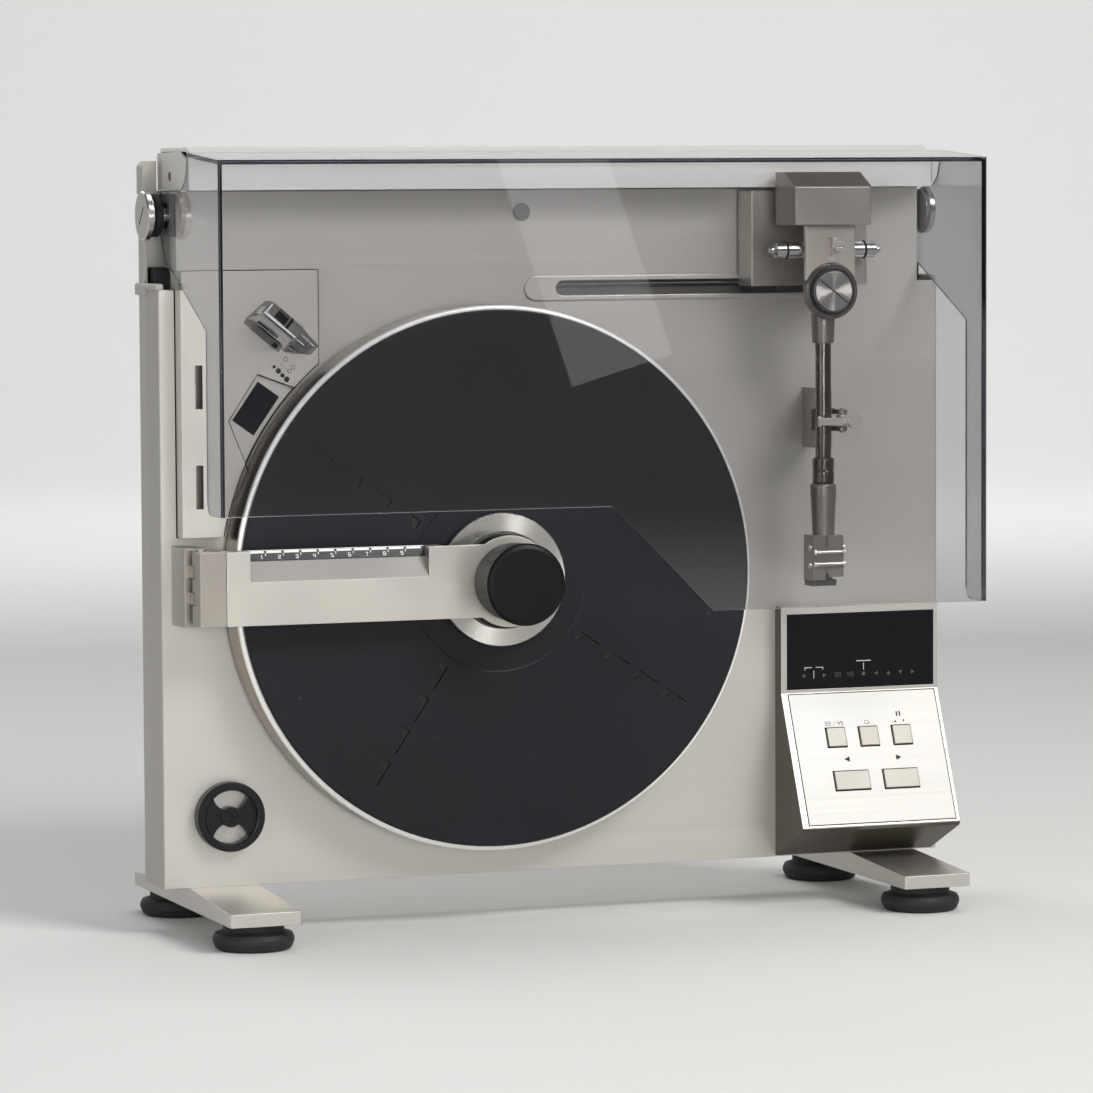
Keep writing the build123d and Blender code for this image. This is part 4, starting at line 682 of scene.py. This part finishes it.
bm = bmesh.new()
bk = bmesh.new()
for sgn in (-1, 1):
    disc_x(bm, sgn * 218.0, sgn, 14.5, 412.6, 2.9, 0.42)
    for ang in (20, 110):
        d = Vector((0, math.cos(math.radians(ang)), math.sin(math.radians(ang))))
        q = Vector((0, -d.z, d.y))
        slab(bk, [(-1.8, -0.38), (1.8, -0.38), (1.8, 0.38), (-1.8, 0.38)], P(sgn * 218.42, 14.5, 412.6), d, q, Vector((sgn, 0, 0)), 0.0, 0.06)
mesh_obj("cap_screw_heads", bm, "steel", "cabinet")
# painted shade: dark crosses standing for the shaded recesses in the screw heads
mesh_obj("cap_screw_cross_painted_shade", bk, "black_and_painted_shade", "cabinet")

# indicator symbols behind the black window
O = P(0, -8.1, 0)
ex, ez, en = Vector((1, 0, 0)), Vector((0, 0, 1)), Vector((0, -1, 0))
bm = bmesh.new()
z = 129.3
for x, w in ((143.9, "l"), (156.8, "r"), (188.7, "l"), (196.3, "u"), (203.8, "d"), (211.4, "r")):
    tri(bm, x, z, 2.5, w, O, ex, ez, en, 0.0, 0.04)
slab(bm, [(180.9 - 1.0, z - 1.0), (180.9 + 1.0, z - 1.0), (180.9 + 1.0, z + 1.0), (180.9 - 1.0, z + 1.0)], O, ex, ez, en, 0.0, 0.04)
number(bm, "33", 165.0, z, 2.2, 0.35, O, ex, ez, en, 0.0, 0.04)
number(bm, "45", 172.8, z, 2.2, 0.35, O, ex, ez, en, 0.0, 0.04)
mesh_obj("indicator_symbols", bm, "dim_ink", "cabinet")
bm = bmesh.new()
stroke(bm, 150.3, z - 1.4, 150.3, z + 2.6, 0.3, O, ex, ez, en, 0.0, 0.04)
stroke(bm, 180.9, z + 2.4, 180.9, z + 6.0, 0.3, O, ex, ez, en, 0.0, 0.04)
for dx in (-5.5, 5.5):
    stroke(bm, 150.3 + dx, z + 4.6, 150.3 + dx * 0.25, z + 4.6, 0.3, O, ex, ez, en, 0.0, 0.04)
stroke(bm, 150.3 - 5.5, z + 4.6, 150.3 - 5.5, z + 3.4, 0.3, O, ex, ez, en, 0.0, 0.04)
stroke(bm, 150.3 + 5.5, z + 4.6, 150.3 + 5.5, z + 3.4, 0.3, O, ex, ez, en, 0.0, 0.04)
stroke(bm, 176.6, z + 7.4, 185.2, z + 7.4, 0.35, O, ex, ez, en, 0.0, 0.04)
mesh_obj("indicator_lines", bm, "white_print_and_painted_highlight", "cabinet")

# marks printed on the sloped fascia
FA = math.atan2(119.8 - 46.6, 39.8 - 8.5)
FL = math.hypot(119.8 - 46.6, 39.8 - 8.5)
fv = Vector((0, math.cos(FA), math.sin(FA)))
fn = Vector((0, -math.sin(FA), math.cos(FA)))
F0 = P(0, -39.8, 46.6) + fv * (FL * 0.001) + fn * 0.00015


def fy(v):
    return -v


bm = bmesh.new()
tri(bm, 163.7, fy(40.2), 3.6, "l", F0, ex, fv, fn, 0.0, 0.03)
tri(bm, 195.2, fy(40.4), 3.6, "r", F0, ex, fv, fn, 0.0, 0.03)
for dx in (-0.9, 0.9):
    slab(bm, [(199.4 + dx - 0.45, fy(14.7) - 1.4), (199.4 + dx + 0.45, fy(14.7) - 1.4), (199.4 + dx + 0.45, fy(14.7) + 1.4), (199.4 + dx - 0.45, fy(14.7) + 1.4)], F0, ex, fv, fn, 0.0, 0.03)
mesh_obj("fascia_marks", bm, "dark_ink", "cabinet")
bm = bmesh.new()
number(bm, "33", 155.2, fy(18.9), 2.0, 0.28, F0, ex, fv, fn, 0.0, 0.03)
stroke(bm, 158.6, fy(20.0), 159.9, fy(17.8), 0.22, F0, ex, fv, fn, 0.0, 0.03)
number(bm, "45", 163.0, fy(18.9), 2.0, 0.28, F0, ex, fv, fn, 0.0, 0.03)
# loop arrow over the repeat key
for a0 in range(20, 330, 15):
    a, b = math.radians(a0), math.radians(a0 + 15)
    stroke(bm, 179.2 + 1.35 * math.cos(a), fy(18.9) + 1.1 * math.sin(a), 179.2 + 1.35 * math.cos(b), fy(18.9) + 1.1 * math.sin(b), 0.26, F0, ex, fv, fn, 0.0, 0.03)
tri(bm, 180.5, fy(19.2), 1.1, "u", F0, ex, fv, fn, 0.0, 0.03)
tri(bm, 196.9, fy(19.0), 1.7, "u", F0, ex, fv, fn, 0.0, 0.03)
tri(bm, 202.0, fy(19.0), 1.7, "d", F0, ex, fv, fn, 0.0, 0.03)
mesh_obj("fascia_fine_marks", bm, "dark_ink", "cabinet")

# shadow gaps round the five keys and round the fascia plate and the black window
bm = bmesh.new()
for kx, kv, kw, kh in ((159.1, 27.2, 10.6, 10.6), (179.2, 27.3, 10.6, 10.6), (199.6, 27.3, 10.6, 10.6), (164.4, 52.8, 20.4, 10.4), (194.6, 52.9, 20.4, 10.4)):
    hw, hh, g = kw / 2, kh / 2, 0.74
    for x0, x1, y0, y1 in ((kx - hw - g, kx - hw - 0.08, -kv - hh - g, -kv + hh + g), (kx + hw + 0.08, kx + hw + g, -kv - hh - g, -kv + hh + g),
                           (kx - hw - 0.08, kx + hw + 0.08, -kv - hh - g, -kv - hh - 0.08), (kx - hw - 0.08, kx + hw + 0.08, -kv + hh + 0.08, -kv + hh + g)):
        slab(bm, [(x0, y0), (x1, y0), (x1, y1), (x0, y1)], F0, ex, fv, fn, -0.75, 0.03)
for x0, x1, v0, v1 in ((133.84, 134.28, 0.62, 78.18), (224.12, 224.58, 0.62, 78.18), (134.28, 224.12, 0.62, 1.08), (134.28, 224.12, 77.72, 78.18)):
    slab(bm, [(x0, -v1), (x1, -v1), (x1, -v0), (x0, -v0)], F0, ex, fv, fn, -0.7, -0.12)
mesh_obj("fascia_gaps", bm, "gap", "cabinet")

# back of the cabinet: pressed border and ribs, grille surround, socket surrounds, jack collars
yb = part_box("rear_cover")[1][1]
OB, bx_, bz_, bn_ = Vector((0, yb, 0)), Vector((-1, 0, 0)), Vector((0, 0, 1)), Vector((0, 1, 0))


def rounded(x0, x1, z0, z1, r, k=6):
    pts = []
    for cx, cz, a0 in ((x1 - r, z0 + r, -90), (x1 - r, z1 - r, 0), (x0 + r, z1 - r, 90), (x0 + r, z0 + r, 180)):
        pts += [(cx + r * math.cos(math.radians(a0 + 90 * i / k)), cz + r * math.sin(math.radians(a0 + 90 * i / k))) for i in range(k + 1)]
    return pts


def pressed(bm, x0, x1, z0, z1, r, h, slope, ring=None):
    "pressed boss with sloping flanks; with ring, a closed raised bead of that width"
    steps = [(0.0, -0.05), (slope, h)] if ring is None else [(0.0, -0.05), (slope, h), (ring - slope, h), (ring, -0.05)]
    loops = []
    for ins, n in steps:
        loops.append([bm.verts.new(OB + (bx_ * a + bz_ * b + bn_ * n) * 0.001) for a, b in rounded(x0 + ins, x1 - ins, z0 + ins, z1 - ins, max(0.4, r - ins))])
    k = len(loops[0])
    if ring is not None:
        loops.append(loops[0])
    for lo, hi in zip(loops, loops[1:]):
        for i in range(k):
            bm.faces.new((lo[i], lo[(i + 1) % k], hi[(i + 1) % k], hi[i]))
    if ring is None:
        bm.faces.new(loops[0][::-1])
        bm.faces.new(loops[-1])


bm = bmesh.new()
pressed(bm, -204, 204, 30, 378, 12, 0.9, 1.4, 6.0)
pressed(bm, -72, 128, 286, 350, 8, 0.8, 1.2, 4.6)
for z0 in (232, 250, 268):
    pressed(bm, -110, 166, z0 - 4, z0 + 4, 3.9, 1.0, 1.6)
for x0, x1, z0, z1 in ((-171, -123, 38.5, 67.5), (116.5, 179.5, 38.5, 69.5)):
    pressed(bm, x0, x1, z0, z1, 3.5, 0.8, 1.0, 4.0)
pressed(bm, -70, 62, 70, 150, 6, 0.7, 1.2, 4.0)
mesh_obj("rear_pressings", bm, "rear", "cabinet")

bm = bmesh.new()
for xj, r0, r1, n1 in ((-138, 4.25, 5.6, 2.2), (-156, 4.25, 5.6, 2.2)):
    ring = []
    for r, n in ((r0, 1.25), (r1, 1.25), (r1, n1 - 0.4), (r1 - 0.4, n1), (r0, n1)):
        ring.append([bm.verts.new(OB + (bx_ * (xj + r * math.cos(2 * math.pi * i / 36)) + bz_ * (53 + r * math.sin(2 * math.pi * i / 36)) + bn_ * n) * 0.001) for i in range(36)])
    ring.append(ring[0])
    for lo, hi in zip(ring, ring[1:]):
        for i in range(36):
            bm.faces.new((lo[i], lo[(i + 1) % 36], hi[(i + 1) % 36], hi[i]))
mesh_obj("jack_collars", bm, "brass", "cabinet")

# rating-plate place, left bare, with a row of plain ventilation louvres beside it
bm = bmesh.new()
for k in range(10):
    xa = -57 + k * 11.8
    pressed(bm, xa - 3.6, xa + 3.6, 82, 138, 3.0, 1.5, 1.1)
mesh_obj("rear_louvres", bm, "rear", "cabinet")

# ------------------------------------------------------------------ stage
bm = bmesh.new()
prof = [(0.0, 0.0), (1.0, 0.0), (2.5, 0.0), (4.2, 0.0)]
for k in range(1, 13):
    a = math.radians(7.5 * k)
    prof.append((4.2 + 2.6 * math.sin(a), 2.6 - 2.6 * math.cos(a)))
prof.append((6.8, 3.6))
SEGS = 96
ringsv = []
for r, zz in prof:
    if r == 0.0:
        ringsv.append([bm.verts.new((0, 0, zz))])
    else:
        ringsv.append([bm.verts.new((r * math.cos(2 * math.pi * i / SEGS), r * math.sin(2 * math.pi * i / SEGS), zz)) for i in range(SEGS)])
for a, b in zip(ringsv, ringsv[1:]):
    for i in range(SEGS):
        j = (i + 1) % SEGS
        if len(a) == 1:
            bm.faces.new((a[0], b[i], b[j]))
        else:
            bm.faces.new((a[i], b[i], b[j], a[j]))
me = bpy.data.meshes.new("studio_floor")
bm.to_mesh(me)
bm.free()
floor = bpy.data.objects.new("studio_floor", me)
bpy.context.scene.collection.objects.link(floor)
for f in me.polygons:
    f.use_smooth = True
t = Tree("studio_paper")
g = t.noise((40, 40, 40), 4.0)
t.link(t.mix(t.noise((0.8, 0.8, 0.8), 3.0), (0.74, 0.735, 0.725), (0.78, 0.775, 0.765)), t.p.inputs["Base Color"])
t.link(t.mapr(g, 0.3, 0.7, 0.75, 0.9), t.p.inputs["Roughness"])
t.set(Specular_IOR_Level=0.2)
me.materials.append(t.m)


def area(name, loc, target, sx, sy, power, col=(1, 1, 1), roll=0.0):
    l = bpy.data.lights.new(name, "AREA")
    l.shape = "RECTANGLE"
    l.size, l.size_y = sx, sy
    l.energy = power
    l.color = col
    o = bpy.data.objects.new(name, l)
    o.location = loc
    o.rotation_mode = "QUATERNION"
    o.rotation_quaternion = (Vector(target) - Vector(loc)).to_track_quat("-Z", "Y") @ Quaternion((0, 0, 1), math.radians(roll))
    bpy.context.scene.collection.objects.link(o)
    return o


area("key", (1.05, -2.0, 1.9), (0.0, -0.02, 0.15), 1.2, 0.9, 52.0, (1.0, 0.99, 0.975))
area("fill", (-2.3, -1.5, 0.8), (0.0, 0.0, 0.2), 1.4, 1.4, 17.0, (0.98, 0.99, 1.0))
area("front", (-0.55, -2.75, 0.40), (-0.15, 0.0, 0.05), 1.0, 0.5, 15.0, (1.0, 0.995, 0.985))
area("top", (0.2, 0.3, 2.4), (0.0, 0.0, 0.2), 1.6, 1.2, 15.0, (1.0, 0.99, 0.97))
area("back", (-0.9, 2.4, 1.5), (0.0, 0.0, 0.2), 1.4, 1.2, 10.0, (0.98, 0.99, 1.0))
area("backdrop", (1.1, 2.2, 2.6), (2.2, 6.3, 1.3), 2.4, 1.2, 110.0, (1.0, 1.0, 1.0))
area("card", (0.90, -2.55, 0.37), (-0.02, -0.086, 0.37), 0.11, 0.34, 0.12, (1.0, 1.0, 1.0), 18.0)

w = bpy.data.worlds.new("studio_world")
bpy.context.scene.world = w
w.use_nodes = True
bg = w.node_tree.nodes["Background"]
bg.inputs["Color"].default_value = (0.86, 0.87, 0.89, 1)
bg.inputs["Strength"].default_value = 0.24

# ------------------------------------------------------------------ camera at the photograph's place
cam = bpy.data.cameras.new("camera")
cam.sensor_width = 36.0
cam.sensor_fit = "HORIZONTAL"
cam.lens = 169.28950
cam.clip_start, cam.clip_end = 0.05, 60.0
co = bpy.data.objects.new("camera", cam)
bpy.context.scene.collection.objects.link(co)
right = Vector((0.93744119, -0.34810396, -0.00525826))
up = Vector((0.02993333, 0.06554407, 0.99740061))
fwd = Vector((0.34685445, 0.93516181, -0.07186363))
m = Matrix((right, up, -fwd)).transposed().to_4x4()
m.translation = Vector((-0.99691172, -2.67964021, 0.41163751))
co.matrix_world = m
bpy.context.scene.camera = co
bpy.context.scene.view_settings.view_transform = "Standard"

bpy.context.view_layer.update()
